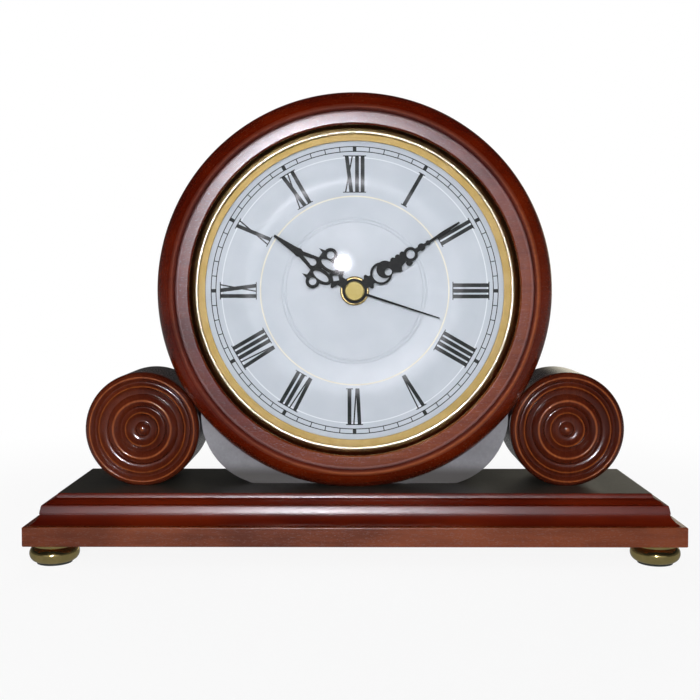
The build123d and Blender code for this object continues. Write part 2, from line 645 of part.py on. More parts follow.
def drum_body():
    """The wooden drum: a thick tube with a rebate at the back for the door."""
    shell = tube(DRUM_RADIUS, DRUM_CAVITY_RADIUS, DRUM_FRONT_Y, DRUM_BACK_Y)
    rebate_y = DRUM_BACK_Y - DOOR_THICKNESS - DOOR_SEAT_GAP
    shell -= rod(DOOR_RADIUS + DOOR_GAP, rebate_y, DRUM_BACK_Y)
    magnet_x = magnet_spot()[0]
    seat = block(magnet_x - MAGNET_SEAT_WIDTH / 2, DRUM_CAVITY_RADIUS + MAGNET_SEAT_ROOT,
                 rebate_y - MAGNET_LENGTH - MAGNET_SEAT_FLOOR, rebate_y,
                 DRUM_Z - MAGNET_SEAT_WIDTH / 2, DRUM_Z + MAGNET_SEAT_WIDTH / 2)
    shell += seat
    shell -= rod(MAGNET_RADIUS + PRESS_GAP, rebate_y - MAGNET_LENGTH, rebate_y, magnet_spot())
    for at in hinge_screw_spots(-1):
        shell -= hinge_screw_hole(at)
    return drill_base(shell)


def cradle_corner_x():
    """How far aside the cradle's corner arcs lie, so that they just clear the scrolls."""
    reach = CRADLE_CORNER_RADIUS + SCROLL_RADIUS + SCROLL_CRADLE_GAP
    rise = PLINTH_TOP_Z + CRADLE_CORNER_HEIGHT - SCROLL_Z
    return SCROLL_X - sqrt(reach ** 2 - rise ** 2)


def drum_cradle():
    """The round-cornered block that the drum lies in."""
    corner_x = cradle_corner_x()
    corner_z = PLINTH_TOP_Z + CRADLE_CORNER_HEIGHT
    front = DRUM_FRONT_Y + CRADLE_SETBACK
    ends = [rod(CRADLE_CORNER_RADIUS, front, CASE_BACK_Y, (sign * corner_x, 0), corner_z)
            for sign in (-1, 1)]
    middle = block(-corner_x, corner_x, front, CASE_BACK_Y,
                   corner_z - CRADLE_CORNER_RADIUS, corner_z + CRADLE_CORNER_RADIUS)
    cradle = above_plinth(middle + ends[0] + ends[1])
    cradle -= rod(DRUM_RADIUS + GLUE_GAP, DRUM_FRONT_Y, DRUM_BACK_Y)
    return drill_base(cradle)


def rosette(x):
    """The turned front of a scroll: ridges and coves round a domed button."""
    def at(radius, depth):
        return (radius, ROSETTE_RIM_Y + depth)

    def curve(start, end, hollow):
        middle = ((start[0] + end[0]) / 2, (start[1] + end[1]) / 2 + hollow)
        return ThreePointArc(start, middle, end)

    side = at(SCROLL_RADIUS, RIM_SIDE_DEPTH)
    crest = at(RIM_CREST_RADIUS, 0)
    outer_valley = at(OUTER_VALLEY_RADIUS, OUTER_VALLEY_DEPTH)
    outer_ridge = at(OUTER_RIDGE_RADIUS, OUTER_RIDGE_DEPTH)
    middle_valley = at(MIDDLE_VALLEY_RADIUS, MIDDLE_VALLEY_DEPTH)
    bead = at(BEAD_RADIUS, BEAD_DEPTH)
    inner_valley = at(INNER_VALLEY_RADIUS, INNER_VALLEY_DEPTH)
    inner_ridge = at(INNER_RIDGE_RADIUS, INNER_RIDGE_DEPTH)
    button_edge = at(BUTTON_RADIUS, BUTTON_VALLEY_DEPTH)
    button_top = at(0, BUTTON_TOP_DEPTH)
    lines = curve(side, crest, -RIM_OUTER_BULGE)
    lines += curve(crest, outer_valley, -RIM_INNER_BULGE)
    lines += curve(outer_valley, outer_ridge, OUTER_RIDGE_HOLLOW)
    lines += curve(outer_ridge, middle_valley, MIDDLE_COVE_HOLLOW)
    lines += curve(middle_valley, bead, -BEAD_BULGE)
    lines += curve(bead, inner_valley, -BEAD_BULGE)
    lines += curve(inner_valley, inner_ridge, INNER_RIDGE_HOLLOW)
    lines += curve(inner_ridge, button_edge, BUTTON_COVE_HOLLOW)
    lines += ThreePointArc(button_edge, cap_middle(button_edge, button_top[1]), button_top)
    lines += Polyline(button_top, (0, SCROLL_JOINT_Y), (SCROLL_RADIUS, SCROLL_JOINT_Y), side)
    return above_plinth(turned(lines, x, SCROLL_Z))


def scroll_body(x):
    """The plain round billet behind a rosette."""
    body = above_plinth(rod(SCROLL_RADIUS, SCROLL_JOINT_Y, CASE_BACK_Y, (x, 0), SCROLL_Z))
    return drill_base(body)


def case_pieces():
    """Everything turned or sawn from wood above the plinth."""
    pieces = {"front_ring": front_ring(), "drum_body": drum_body(), "drum_cradle": drum_cradle()}
    for name, x in (("left", -SCROLL_X), ("right", SCROLL_X)):
        pieces["scroll_body_" + name] = scroll_body(x)
        pieces["scroll_rosette_" + name] = rosette(x)
    return pieces


# ---------------------------------------------------------------- glazed face
def bezel():
    """The spun brass bezel: a sleeve in the ring's bore with a coved lip and a bead."""
    cove_start = (BEZEL_RADIUS, BEZEL_COVE_BACK_Y)
    cove_end = (BEZEL_COVE_RADIUS, BEZEL_COVE_FRONT_Y)
    cove_middle = ((cove_start[0] + 2 * cove_end[0]) / 3, (2 * cove_start[1] + cove_end[1]) / 3)
    bead_end = (BEZEL_LIP_RADIUS, BEZEL_COVE_FRONT_Y)
    bead_top = ((BEZEL_LIP_RADIUS + BEZEL_COVE_RADIUS) / 2, BEZEL_CREST_Y)
    inner = BEZEL_RADIUS - BEZEL_WALL
    lines = Line((BEZEL_RADIUS, BEZEL_BACK_Y), cove_start)
    lines += ThreePointArc(cove_start, cove_middle, cove_end)
    lines += ThreePointArc(cove_end, bead_top, bead_end)
    lines += Polyline(bead_end, (BEZEL_LIP_RADIUS, GLASS_RIM_Y), (inner, GLASS_RIM_Y),
                      (inner, BEZEL_BACK_Y), (BEZEL_RADIUS, BEZEL_BACK_Y))
    return turned(lines)


def dome_glass():
    """The domed glass, with a flat rim that the bezel's lip holds."""
    dome = BEZEL_LIP_RADIUS - FIT_GAP
    peak = GLASS_RIM_Y - GLASS_DOME_HEIGHT
    inner_peak = peak + GLASS_THICKNESS
    front_edge = (dome, GLASS_RIM_Y)
    back_edge = (dome, GLASS_BACK_Y)
    lines = ThreePointArc(front_edge, cap_middle(front_edge, peak), (0, peak))
    lines += Line((0, peak), (0, inner_peak))
    lines += ThreePointArc((0, inner_peak), cap_middle(back_edge, inner_peak), back_edge)
    lines += Polyline(back_edge, (FACE_RADIUS, GLASS_BACK_Y), (FACE_RADIUS, GLASS_RIM_Y), front_edge)
    return turned(lines)


def gold_ring():
    """The flat gilt ring behind the glass, with a short skirt down to the dial."""
    face = GOLD_RING_FACE_Y
    skirt = GOLD_RING_INNER_RADIUS + GOLD_RING_SKIRT
    flange = FACE_RADIUS - GOLD_RING_SKIRT
    back = face + GOLD_RING_THICKNESS
    lines = Polyline(
        (GOLD_RING_INNER_RADIUS, face), (GOLD_RING_INNER_RADIUS, DIAL_FACE_Y), (skirt, DIAL_FACE_Y),
        (skirt, back), (flange, back), (flange, DIAL_FACE_Y), (FACE_RADIUS, DIAL_FACE_Y),
        (FACE_RADIUS, GLASS_BACK_Y), (flange, GLASS_BACK_Y), (flange, face),
        (GOLD_RING_INNER_RADIUS, face))
    return turned(lines)


def dial():
    """The thin pressed dial: a flat centre and margin with a rounded crest between them."""
    hole = POST_RADIUS + PRESS_GAP
    margin = (DIAL_MARGIN_RADIUS, DIAL_FACE_Y)
    crest = (DIAL_CREST_RADIUS, DIAL_FACE_Y - DIAL_CREST_RISE)
    centre = (DIAL_CENTRE_RADIUS, DIAL_FACE_Y)
    outer_middle = ((margin[0] + crest[0]) / 2, (margin[1] + crest[1]) / 2 - DIAL_OUTER_BULGE)
    inner_middle = ((centre[0] + crest[0]) / 2, (centre[1] + crest[1]) / 2 + DIAL_INNER_HOLLOW)
    lines = Polyline((hole, DIAL_BACK_Y), (FACE_RADIUS, DIAL_BACK_Y), (FACE_RADIUS, DIAL_FACE_Y), margin)
    lines += ThreePointArc(margin, outer_middle, crest)
    lines += ThreePointArc(crest, inner_middle, centre)
    lines += Polyline(centre, (hole, DIAL_FACE_Y), (hole, DIAL_BACK_Y))
    return turned(lines)


def washer_and_nut():
    """The washer and round nut that hold the movement's post to the dial."""
    washer_front = DIAL_FACE_Y - WASHER_THICKNESS
    washer = tube(WASHER_RADIUS, POST_RADIUS + PRESS_GAP, washer_front, DIAL_FACE_Y)
    nut = tube(NUT_RADIUS, POST_RADIUS + PRESS_GAP, NUT_FRONT_Y, washer_front)
    nut = chamfer(nut.edges().group_by(Axis.Y)[0].sort_by(SortBy.RADIUS)[-1], NUT_THICKNESS / 3)
    return {"fixing_washer": washer, "fixing_nut": nut}


def face_pieces():
    """Bezel, glass, gilt ring, dial, the board behind it and the movement's fixings."""
    board = tube(RING_BORE_RADIUS - FIT_GAP, POST_RADIUS + PRESS_GAP, DIAL_BACK_Y, DRUM_FRONT_Y)
    pieces = {"bezel": bezel(), "dome_glass": dome_glass(), "gold_ring": gold_ring(),
              "dial": dial(), "dial_board": board}
    pieces.update(washer_and_nut())
    return pieces


# ---------------------------------------------------------------- hands
def disc(radius, x=0.0, y=0.0):
    """A filled circle in a hand's own plane."""
    return Pos(x, y) * Circle(radius)


def patch(*points):
    """A filled straight-sided outline in a hand's own plane."""
    return make_face(Polyline(*points, close=True))


def both_sides(shape):
    """A shape and its mirror image across the hand's middle line."""
    return shape + mirror(shape, Plane.XZ)


def symmetric(*points):
    """A filled outline from one side's points, mirrored across the hand's middle line."""
    return patch(*points, *[(out, -aside) for out, aside in reversed(points)])


def diamond(out, half):
    """A square set on its corner, on the hand's middle line."""
    return patch((out - half, 0), (out, half), (out + half, 0), (out, -half))


def thorns(out, aside):
    """A pair of blunt thorns that stand out from the neck of a hand."""
    root = HAND_NECK_HALF / 2
    tip = HAND_THORN_TIP / 2
    return both_sides(patch((out - HAND_THORN_SPREAD, root), (out - tip, aside),
                            (out + tip, aside), (out + HAND_THORN_SPREAD, root)))


def hour_hand_sketch():
    """The openwork hour hand, drawn pointing along +X."""
    hand = disc(HAND_HUB_RADIUS)
    hand += symmetric((0, HAND_NECK_HALF), (HOUR_DIAMOND_OUT, HAND_NECK_HALF))
    hand += diamond(HOUR_DIAMOND_OUT, HOUR_DIAMOND_SIZE / 2)
    hand += thorns(HOUR_THORN_OUT, HOUR_THORN_ASIDE)
    lobe_place = Pos(HOUR_LOBE_OUT, HOUR_LOBE_ASIDE)
    hand += both_sides(lobe_place * Ellipse(HOUR_LOBE_LENGTH, HOUR_LOBE_HEIGHT))
    hand += both_sides(disc(HOUR_CURL_RADIUS, HOUR_CURL_OUT, HOUR_CURL_ASIDE))
    hand += both_sides(patch(
        (HOUR_LANCE_START, HOUR_LOBE_ASIDE), (HOUR_LANCE_START, HOUR_SPUR_ASIDE),
        (HOUR_SPUR_BASE, HOUR_SPUR_ASIDE + HOUR_SPUR_HALF), (HOUR_SPUR_OUT, HOUR_SPUR_ASIDE),
        (HOUR_SPUR_BASE + HOUR_SPUR_ROOT, HOUR_SPUR_ASIDE - HOUR_SPUR_HALF),
        (HOUR_SPUR_BASE + HOUR_SPUR_ROOT, HOUR_LANCE_ROOT_HALF)))
    hand += symmetric(
        (HOUR_LANCE_START, HOUR_LANCE_ROOT_HALF), (HOUR_LANCE_ROOT, HOUR_LANCE_ROOT_HALF),
        (HOUR_WAIST_OUT, HOUR_WAIST_HALF), (HOUR_SHOULDER_OUT, HOUR_SHOULDER_HALF),
        (HOUR_BLADE_OUT, HOUR_WAIST_HALF), (HOUR_HAND_LENGTH, HOUR_POINT_HALF))
    window = Ellipse(HOUR_LOBE_LENGTH - HOUR_LOBE_WALL, HOUR_LOBE_HEIGHT - HOUR_LOBE_WALL)
    hand -= diamond(HOUR_DIAMOND_OUT, HOUR_DIAMOND_HOLE / 2)
    hand -= both_sides(lobe_place * window)
    hand -= both_sides(disc(HOUR_CURL_HOLE, HOUR_CURL_OUT, HOUR_CURL_ASIDE))
    hand -= disc(HOUR_TEAR_RADIUS, HOUR_TEAR_OUT)
    hand -= patch((HOUR_TEAR_OUT, HOUR_TEAR_RADIUS), (HOUR_TEAR_TIP, 0),
                  (HOUR_TEAR_OUT, -HOUR_TEAR_RADIUS))
    return hand


def minute_foliage():
    """The leafy stretch of the minute hand, scalloped on one side and spurred on the other."""
    half = MINUTE_FOLIAGE_HALF
    scallop = half / 2
    spur_end = MINUTE_SPUR_OUT + MINUTE_SPUR_WIDTH
    foliage = patch(
        (MINUTE_FOLIAGE_START, half), (MINUTE_FOLIAGE_END, half), (MINUTE_FOLIAGE_END, -scallop),
        (spur_end + MINUTE_SPUR_SLOPE, -half), (spur_end, -MINUTE_SPUR_ASIDE),
        (MINUTE_SPUR_OUT, -MINUTE_SPUR_ASIDE), (MINUTE_FOLIAGE_START, -half))
    for out in (MINUTE_SPUR_OUT, MINUTE_SPUR_OUT + 2 * scallop, MINUTE_FOLIAGE_END - scallop / 2):
        foliage += disc(scallop, out, half - scallop / 3)
    return foliage


def minute_hand_sketch():
    """The openwork minute hand, drawn pointing along +X."""
    hand = disc(HAND_HUB_RADIUS)
    hand += symmetric((0, HAND_NECK_HALF), (MINUTE_LOOP_OUT - MINUTE_LOOP_HOLE, HAND_NECK_HALF))
    hand += thorns(MINUTE_THORN_OUT, MINUTE_THORN_ASIDE)
    hand += disc(MINUTE_LOOP_RADIUS, MINUTE_LOOP_OUT)
    hand -= disc(MINUTE_LOOP_HOLE, MINUTE_LOOP_OUT)
    hand += disc(MINUTE_LEAF_RADIUS, MINUTE_LEAF_OUT, MINUTE_LEAF_ASIDE)
    hand -= disc(MINUTE_EYE_RADIUS, MINUTE_EYE_OUT, -MINUTE_EYE_ASIDE)
    hand += minute_foliage()
    hand += disc(MINUTE_RING_RADIUS, MINUTE_RING_OUT)
    hand += disc(MINUTE_BLOB_RADIUS, MINUTE_BLOB_OUT, -MINUTE_BLOB_ASIDE)
    hand -= disc(MINUTE_RING_HOLE, MINUTE_RING_OUT)
    hand += disc(MINUTE_BEAD_RADIUS, MINUTE_BEAD_OUT)
    hand += disc(MINUTE_BEADLET_RADIUS, MINUTE_BEADLET_OUT)
    ring_end = MINUTE_RING_OUT + MINUTE_RING_HOLE + MINUTE_RING_WALL
    return hand + symmetric(
        (ring_end, MINUTE_BEADLET_RADIUS), (MINUTE_BEADLET_OUT, MINUTE_LANCE_HALF),
        (MINUTE_LANCE_BELLY_OUT, MINUTE_LANCE_BELLY_HALF), (MINUTE_HAND_LENGTH, MINUTE_POINT_HALF))


def hand_piece(sketch, angle, y, bore):
    """A hand turned to its resting angle, with a thicker bored hub behind its blade."""
    blade = flat_piece(Rot(0, 0, 90 - angle) * sketch, y + HAND_THICKNESS / 2, HAND_THICKNESS)
    hub = rod(HAND_HUB_RADIUS, y + HAND_THICKNESS / 2, y - HAND_THICKNESS / 2 + HUB_THICKNESS)
    return blade + hub - rod(bore, y - HUB_THICKNESS, y + 2 * HUB_THICKNESS)


def hands():
    """The three hands and the brass boss that caps the second hand."""
    half = SECOND_HAND_WIDTH / 2
    tip = SECOND_HAND_TIP_WIDTH / 2
    pointer = disc(BOSS_RADIUS - BOSS_DOME) + symmetric((0, half), (SECOND_HAND_LENGTH, tip))
    arbor_hole = SECOND_ARBOR_RADIUS + PRESS_GAP
    second = flat_piece(Rot(0, 0, 90 - SECOND_HAND_ANGLE) * pointer,
                              SECOND_HAND_Y + HAND_THICKNESS / 2, HAND_THICKNESS)
    boss_back = SECOND_HAND_Y - HAND_THICKNESS / 2
    boss_front = boss_back - BOSS_THICKNESS
    boss = rod(BOSS_RADIUS, boss_front, boss_back)
    boss = chamfer(boss.edges().group_by(Axis.Y)[0], BOSS_DOME)
    boss -= rod(arbor_hole, boss_back - BOSS_THICKNESS / 2, boss_back)
    return {
        "hour_hand": hand_piece(hour_hand_sketch(), HOUR_HAND_ANGLE, HOUR_HAND_Y,
                                PIPE_RADIUS + PRESS_GAP),
        "minute_hand": hand_piece(minute_hand_sketch(), MINUTE_HAND_ANGLE, MINUTE_HAND_Y,
                                  CANNON_RADIUS + PRESS_GAP),
        "second_hand": second - rod(arbor_hole, boss_back, boss_back + HAND_THICKNESS),
        "second_hand_boss": boss,
    }


# ---------------------------------------------------------------- rear door
HINGE_AXIS_X = -(DOOR_RADIUS + DOOR_GAP / 2)
HINGE_AXIS_Y = DRUM_BACK_Y + HINGE_KNUCKLE_RADIUS + HINGE_KNUCKLE_LIFT


def hinge_screw_spots(side):
    """Two screw places on a hinge leaf: side -1 is the drum's leaf, +1 the door's."""
    x = HINGE_AXIS_X + side * (HINGE_KNUCKLE_RADIUS + HINGE_LEAF_WIDTH / 2)
    return [(x, sign * HINGE_SCREW_SPACING / 2) for sign in (-1, 1)]


def hinge_screw_hole(at):
    """The hole that a hinge screw fills in the wood."""
    return rod(HINGE_SCREW_RADIUS + PRESS_GAP, DRUM_BACK_Y - HINGE_SCREW_LENGTH, DRUM_BACK_Y, at)


def hinge_screws(side):
    """Small countersunk screws through a hinge leaf."""
    head_y = DRUM_BACK_Y + HINGE_LEAF_THICKNESS
    screws = []
    for x, z in hinge_screw_spots(side):
        head = Pos(x, head_y, DRUM_Z + z) * Rot(90, 0, 0) * Cone(
            HINGE_SCREW_HEAD_RADIUS, HINGE_SCREW_RADIUS, HINGE_SCREW_HEAD_DEPTH,
            align=(Align.CENTER, Align.CENTER, Align.MIN))
        screws.append(head + rod(HINGE_SCREW_RADIUS, DRUM_BACK_Y - HINGE_SCREW_LENGTH,
                                 head_y - HINGE_SCREW_HEAD_DEPTH, (x, z)))
    return screws


def hinge_leaf(side, knuckles):
    """A hinge leaf with its knuckles, as pairs of heights from the hinge's middle."""
    wing = HINGE_AXIS_X + side * (HINGE_KNUCKLE_RADIUS + HINGE_LEAF_WIDTH)
    half = HINGE_LEAF_LENGTH / 2
    leaf = block(HINGE_AXIS_X + side * (HINGE_KNUCKLE_RADIUS + HINGE_KNUCKLE_GAP), wing,
                 DRUM_BACK_Y, DRUM_BACK_Y + HINGE_LEAF_THICKNESS, DRUM_Z - half, DRUM_Z + half)
    for low, high in knuckles:
        leaf += post(HINGE_KNUCKLE_RADIUS, DRUM_Z + low, DRUM_Z + high, HINGE_AXIS_X, HINGE_AXIS_Y)
        leaf += block(HINGE_AXIS_X, wing, DRUM_BACK_Y, DRUM_BACK_Y + HINGE_LEAF_THICKNESS,
                      DRUM_Z + low, DRUM_Z + high)
    bore = HINGE_PIN_RADIUS + (HINGE_PIN_CLEARANCE if side > 0 else PRESS_GAP)
    leaf -= post(bore, DRUM_Z - half, DRUM_Z + half, HINGE_AXIS_X, HINGE_AXIS_Y)
    for x, z in hinge_screw_spots(side):
        gap = PRESS_GAP
        top = DRUM_BACK_Y + HINGE_LEAF_THICKNESS
        leaf -= rod(HINGE_SCREW_RADIUS + gap, DRUM_BACK_Y, top, (x, z))
        leaf -= Pos(x, top, DRUM_Z + z) * Rot(90, 0, 0) * Cone(
            HINGE_SCREW_HEAD_RADIUS + gap, HINGE_SCREW_RADIUS + gap, HINGE_SCREW_HEAD_DEPTH,
            align=(Align.CENTER, Align.CENTER, Align.MIN))
    return leaf


def rear_door():
    """The round door, bored for its knob, strike plate and hinge screws."""
    front = DRUM_BACK_Y - DOOR_THICKNESS
    door = rod(DOOR_RADIUS, front, DRUM_BACK_Y)
    door -= rod(DOOR_KNOB_NECK_RADIUS + PRESS_GAP, front, DRUM_BACK_Y, (DOOR_KNOB_X, 0))
    door -= rod(MAGNET_RADIUS + PRESS_GAP, front, front + STRIKE_THICKNESS, magnet_spot())
    for at in hinge_screw_spots(1):
        door -= hinge_screw_hole(at)
    return door


def door_knob():
    """A turned brass knob with a spigot through the door."""
    back = DRUM_BACK_Y
    neck_end = back + DOOR_KNOB_LENGTH / 3
    tip = back + DOOR_KNOB_LENGTH
    middle = (neck_end + tip) / 2
    lines = Polyline((0, back - DOOR_THICKNESS), (DOOR_KNOB_NECK_RADIUS, back - DOOR_THICKNESS),
                     (DOOR_KNOB_NECK_RADIUS, neck_end))
    lines += ThreePointArc((DOOR_KNOB_NECK_RADIUS, neck_end), (DOOR_KNOB_RADIUS, middle),
                           (DOOR_KNOB_NECK_RADIUS, tip))
    lines += Polyline((DOOR_KNOB_NECK_RADIUS, tip), (0, tip), (0, back - DOOR_THICKNESS))
    return turned(lines, DOOR_KNOB_X)


def door_pieces():
    """The rear door with its hinge, knob, strike plate and magnet."""
    half = HINGE_LEAF_LENGTH / 2
    third = HINGE_LEAF_LENGTH / 6
    gap = HINGE_KNUCKLE_GAP
    front = DRUM_BACK_Y - DOOR_THICKNESS
    magnet_back = front - DOOR_SEAT_GAP
    return {
        "rear_door": rear_door(),
        "door_knob": door_knob(),
        "door_strike": rod(MAGNET_RADIUS, front, front + STRIKE_THICKNESS, magnet_spot()),
        "door_magnet": rod(MAGNET_RADIUS, magnet_back - MAGNET_LENGTH, magnet_back, magnet_spot()),
        "hinge_leaf_drum": hinge_leaf(-1, [(-half, -third - gap), (third + gap, half)]),
        "hinge_leaf_door": hinge_leaf(1, [(-third, third)]),
        "hinge_pin": post(HINGE_PIN_RADIUS, DRUM_Z - half, DRUM_Z + half, HINGE_AXIS_X, HINGE_AXIS_Y),
        "hinge_screws_drum": hinge_screws(-1),
        "hinge_screws_door": hinge_screws(1),
    }


# ---------------------------------------------------------------- gears
def mesh_phase(teeth_a, phase_a, teeth_b, bearing):
    """The phase that puts gear B's teeth in gear A's gaps, B lying at a bearing from A."""
    part_pitch = ((bearing - phase_a) * teeth_a / 360) % 1
    return bearing + 180 - (0.5 - part_pitch) * 360 / teeth_b


def gear(teeth, module, phase, y, length, at=HAND_AXIS):
    """A toothed disc with straight-flanked, thinned teeth."""
    pitch_angle = 360 / teeth
    root = module * (teeth / 2 - TOOTH_DEDENDUM)
    tip = module * (teeth / 2 + TOOTH_ADDENDUM)
    corners = []
    for tooth in range(teeth):
        middle = phase + tooth * pitch_angle
        for radius, share in ((root, -TOOTH_ROOT_SHARE), (tip, -TOOTH_TIP_SHARE),
                              (tip, TOOTH_TIP_SHARE), (root, TOOTH_ROOT_SHARE)):
            corners.append(polar(radius, middle + share * pitch_angle / 2))
    return flat_piece(make_face(Polyline(*corners, close=True)), y + length / 2, length, at)


def gear_phases():
    """Every gear's phase, worked out from the rest position of its neighbour."""
    motion_wheel = mesh_phase(CANNON_TEETH, 0, MOTION_WHEEL_TEETH, MOTION_BEARING)
    hour_wheel = mesh_phase(MOTION_PINION_TEETH, 0, HOUR_WHEEL_TEETH, MOTION_BEARING + 180)
    third_pinion = mesh_phase(CENTRE_WHEEL_TEETH, 0, THIRD_PINION_TEETH, THIRD_BEARING)
    third_wheel = mesh_phase(SECOND_PINION_TEETH, 0, THIRD_WHEEL_TEETH, THIRD_BEARING)
    inter_pinion = mesh_phase(SECOND_WHEEL_TEETH, 0, INTERMEDIATE_PINION_TEETH, INTERMEDIATE_BEARING)
    rotor_pinion = mesh_phase(INTERMEDIATE_WHEEL_TEETH, 0, ROTOR_PINION_TEETH, ROTOR_BEARING)
    return {"motion_wheel": motion_wheel, "hour_wheel": hour_wheel, "third_pinion": third_pinion,
            "third_wheel": third_wheel, "intermediate_pinion": inter_pinion,
            "rotor_pinion": rotor_pinion}


def motion_works(phase):
    """Cannon pinion, motion wheel and hour wheel: the twelve-to-one drive of the hour hand."""
    cannon_front = MINUTE_HAND_Y - HAND_THICKNESS / 2
    cannon_back = CENTRE_LAYER + PINION_LENGTH / 2
    cannon = gear(CANNON_TEETH, CANNON_MODULE, 0, MOTION_LAYER, PINION_LENGTH)
    cannon += rod(CANNON_RADIUS, cannon_front, cannon_back)
    cannon -= rod(CANNON_BORE, cannon_front, cannon_back)
    pipe_front = HOUR_HAND_Y - HAND_THICKNESS / 2
    pipe_back = HOUR_LAYER + WHEEL_THICKNESS / 2
    hour = gear(HOUR_WHEEL_TEETH, HOUR_MODULE, phase["hour_wheel"], HOUR_LAYER, WHEEL_THICKNESS)
    hour += rod(PIPE_RADIUS, pipe_front, pipe_back)
    hour -= rod(PIPE_BORE, pipe_front, pipe_back)
    motion = gear(MOTION_WHEEL_TEETH, CANNON_MODULE, phase["motion_wheel"], MOTION_LAYER,
                  WHEEL_THICKNESS, MOTION_AT)
    motion += gear(MOTION_PINION_TEETH, HOUR_MODULE, 0, HOUR_LAYER, PINION_LENGTH, MOTION_AT)
    motion += rod(PIVOT_RADIUS, MOVEMENT_FRONT_Y + MOVEMENT_WALL / 2, HOUR_LAYER, MOTION_AT)
    motion += rod(ARBOR_RADIUS, HOUR_LAYER, MOVEMENT_BACK_Y + SET_KNOB_GAP + SET_KNOB_LENGTH / 2,
                  MOTION_AT)
    return {"cannon_pinion": cannon, "hour_wheel": hour, "motion_wheel": motion}


def arbor(front, back, at):
    """A train arbor with a thinner pivot at each end."""
    shoulder = MOVEMENT_WALL / 2
    body = rod(ARBOR_RADIUS, front + shoulder, back - shoulder, at)
    return body + rod(PIVOT_RADIUS, front, back, at)


def going_train(phase):
    """Rotor, intermediate, second, third and centre wheels: the drive of the hands."""
    deep = MOVEMENT_WALL / 2
    front = MOVEMENT_FRONT_Y + deep
    back = MOVEMENT_BACK_Y - deep
    second = gear(SECOND_WHEEL_TEETH, SECOND_MODULE, 0, SECOND_LAYER, WHEEL_THICKNESS)
    second += gear(SECOND_PINION_TEETH, THIRD_MODULE, 0, THIRD_LAYER, PINION_LENGTH)
    second += rod(SECOND_ARBOR_RADIUS, SECOND_LAYER, THIRD_LAYER)
    second += rod(SECOND_ARBOR_RADIUS, SECOND_HAND_Y - HAND_THICKNESS, back)
    third = gear(THIRD_WHEEL_TEETH, THIRD_MODULE, phase["third_wheel"], THIRD_LAYER,
                 WHEEL_THICKNESS, THIRD_AT)
    third += gear(THIRD_PINION_TEETH, CENTRE_MODULE, phase["third_pinion"], CENTRE_LAYER,
                  PINION_LENGTH, THIRD_AT)
    third += arbor(front, back, THIRD_AT)
    centre = gear(CENTRE_WHEEL_TEETH, CENTRE_MODULE, 0, CENTRE_LAYER, WHEEL_THICKNESS)
    centre -= rod(CANNON_RADIUS + RUNNING_CLEARANCE, MOTION_LAYER, THIRD_LAYER)
    intermediate = gear(INTERMEDIATE_WHEEL_TEETH, ROTOR_MODULE, 0, INTERMEDIATE_LAYER,
                        WHEEL_THICKNESS, INTERMEDIATE_AT)
    intermediate += gear(INTERMEDIATE_PINION_TEETH, SECOND_MODULE, phase["intermediate_pinion"],
                         SECOND_LAYER, PINION_LENGTH, INTERMEDIATE_AT)
    intermediate += rod(PIVOT_RADIUS, PLATE_FRONT_Y, PLATE_BACK_Y + LAYER_GAP, INTERMEDIATE_AT)
    intermediate += rod(ARBOR_RADIUS, PLATE_BACK_Y + LAYER_GAP / 2, INNER_BACK_Y - LAYER_GAP / 2,
                        INTERMEDIATE_AT)
    intermediate += rod(PIVOT_RADIUS, INNER_BACK_Y - LAYER_GAP, back, INTERMEDIATE_AT)
    rotor = gear(ROTOR_PINION_TEETH, ROTOR_MODULE, phase["rotor_pinion"], INTERMEDIATE_LAYER,
                 PINION_LENGTH, ROTOR_AT)
    rotor += rod(ROTOR_MAGNET_RADIUS, MAGNET_FRONT_Y, MAGNET_FRONT_Y + ROTOR_MAGNET_LENGTH, ROTOR_AT)
    rotor += rod(PIVOT_RADIUS, PLATE_FRONT_Y, back, ROTOR_AT)
    return {"second_wheel": second, "third_wheel": third, "centre_wheel": centre,
            "intermediate_wheel": intermediate, "rotor": rotor}


# ---------------------------------------------------------------- movement case and electrics
def inner_block(x0, x1, y0, y1, z0, z1):
    """A box whose heights are measured from the hand axis."""
    return block(x0, x1, y0, y1, DRUM_Z + z0, DRUM_Z + z1)


def movement_tray(y0, y1, wall_y):
    """One half of the movement's case: an open tray whose closed face lies at wall_y."""
    half = MOVEMENT_SIZE / 2
    inner_y0 = y0 + MOVEMENT_WALL if wall_y == y0 else y0
    inner_y1 = y1 - MOVEMENT_WALL if wall_y == y1 else y1
    shell = inner_block(-half, half, y0, y1, -half, half)
    shell = fillet(shell.edges().filter_by(Axis.Y), 2 * MOVEMENT_WALL)
    shell -= inner_block(-INNER_HALF, INNER_HALF, inner_y0, inner_y1, BAY_TOP + BAY_WALL, INNER_HALF)
    shell -= inner_block(-INNER_HALF, INNER_HALF, inner_y0, inner_y1, -INNER_HALF, BAY_TOP)
    return shell


def plate_boss_spots():
    """Where the middle plate stands on bosses of the front tray."""
    x = MOVEMENT_SIZE / 2 - PLATE_BOSS_INSET
    low = BAY_TOP + BAY_WALL + PLATE_BOSS_RADIUS + MIDDLE_PLATE_EDGE_GAP
    return [(sign * x, z) for sign in (-1, 1) for z in (low, x)]


def front_tray():
    """The front half of the case, with its threaded post, bosses and pivot holes."""
    tray = movement_tray(MOVEMENT_FRONT_Y, MOVEMENT_SPLIT_Y, MOVEMENT_FRONT_Y)
    for at in plate_boss_spots():
        tray += rod(PLATE_BOSS_RADIUS, MOVEMENT_FRONT_Y, PLATE_FRONT_Y, at)
    tray += rod(POST_RADIUS, POST_FRONT_Y, MOVEMENT_FRONT_Y)
    tray -= rod(POST_BORE, POST_FRONT_Y, INNER_FRONT_Y)
    for at in (MOTION_AT, THIRD_AT):
        tray -= rod(PIVOT_RADIUS + RUNNING_CLEARANCE, MOVEMENT_FRONT_Y + MOVEMENT_WALL / 3,
                    INNER_FRONT_Y, at)
    return tray


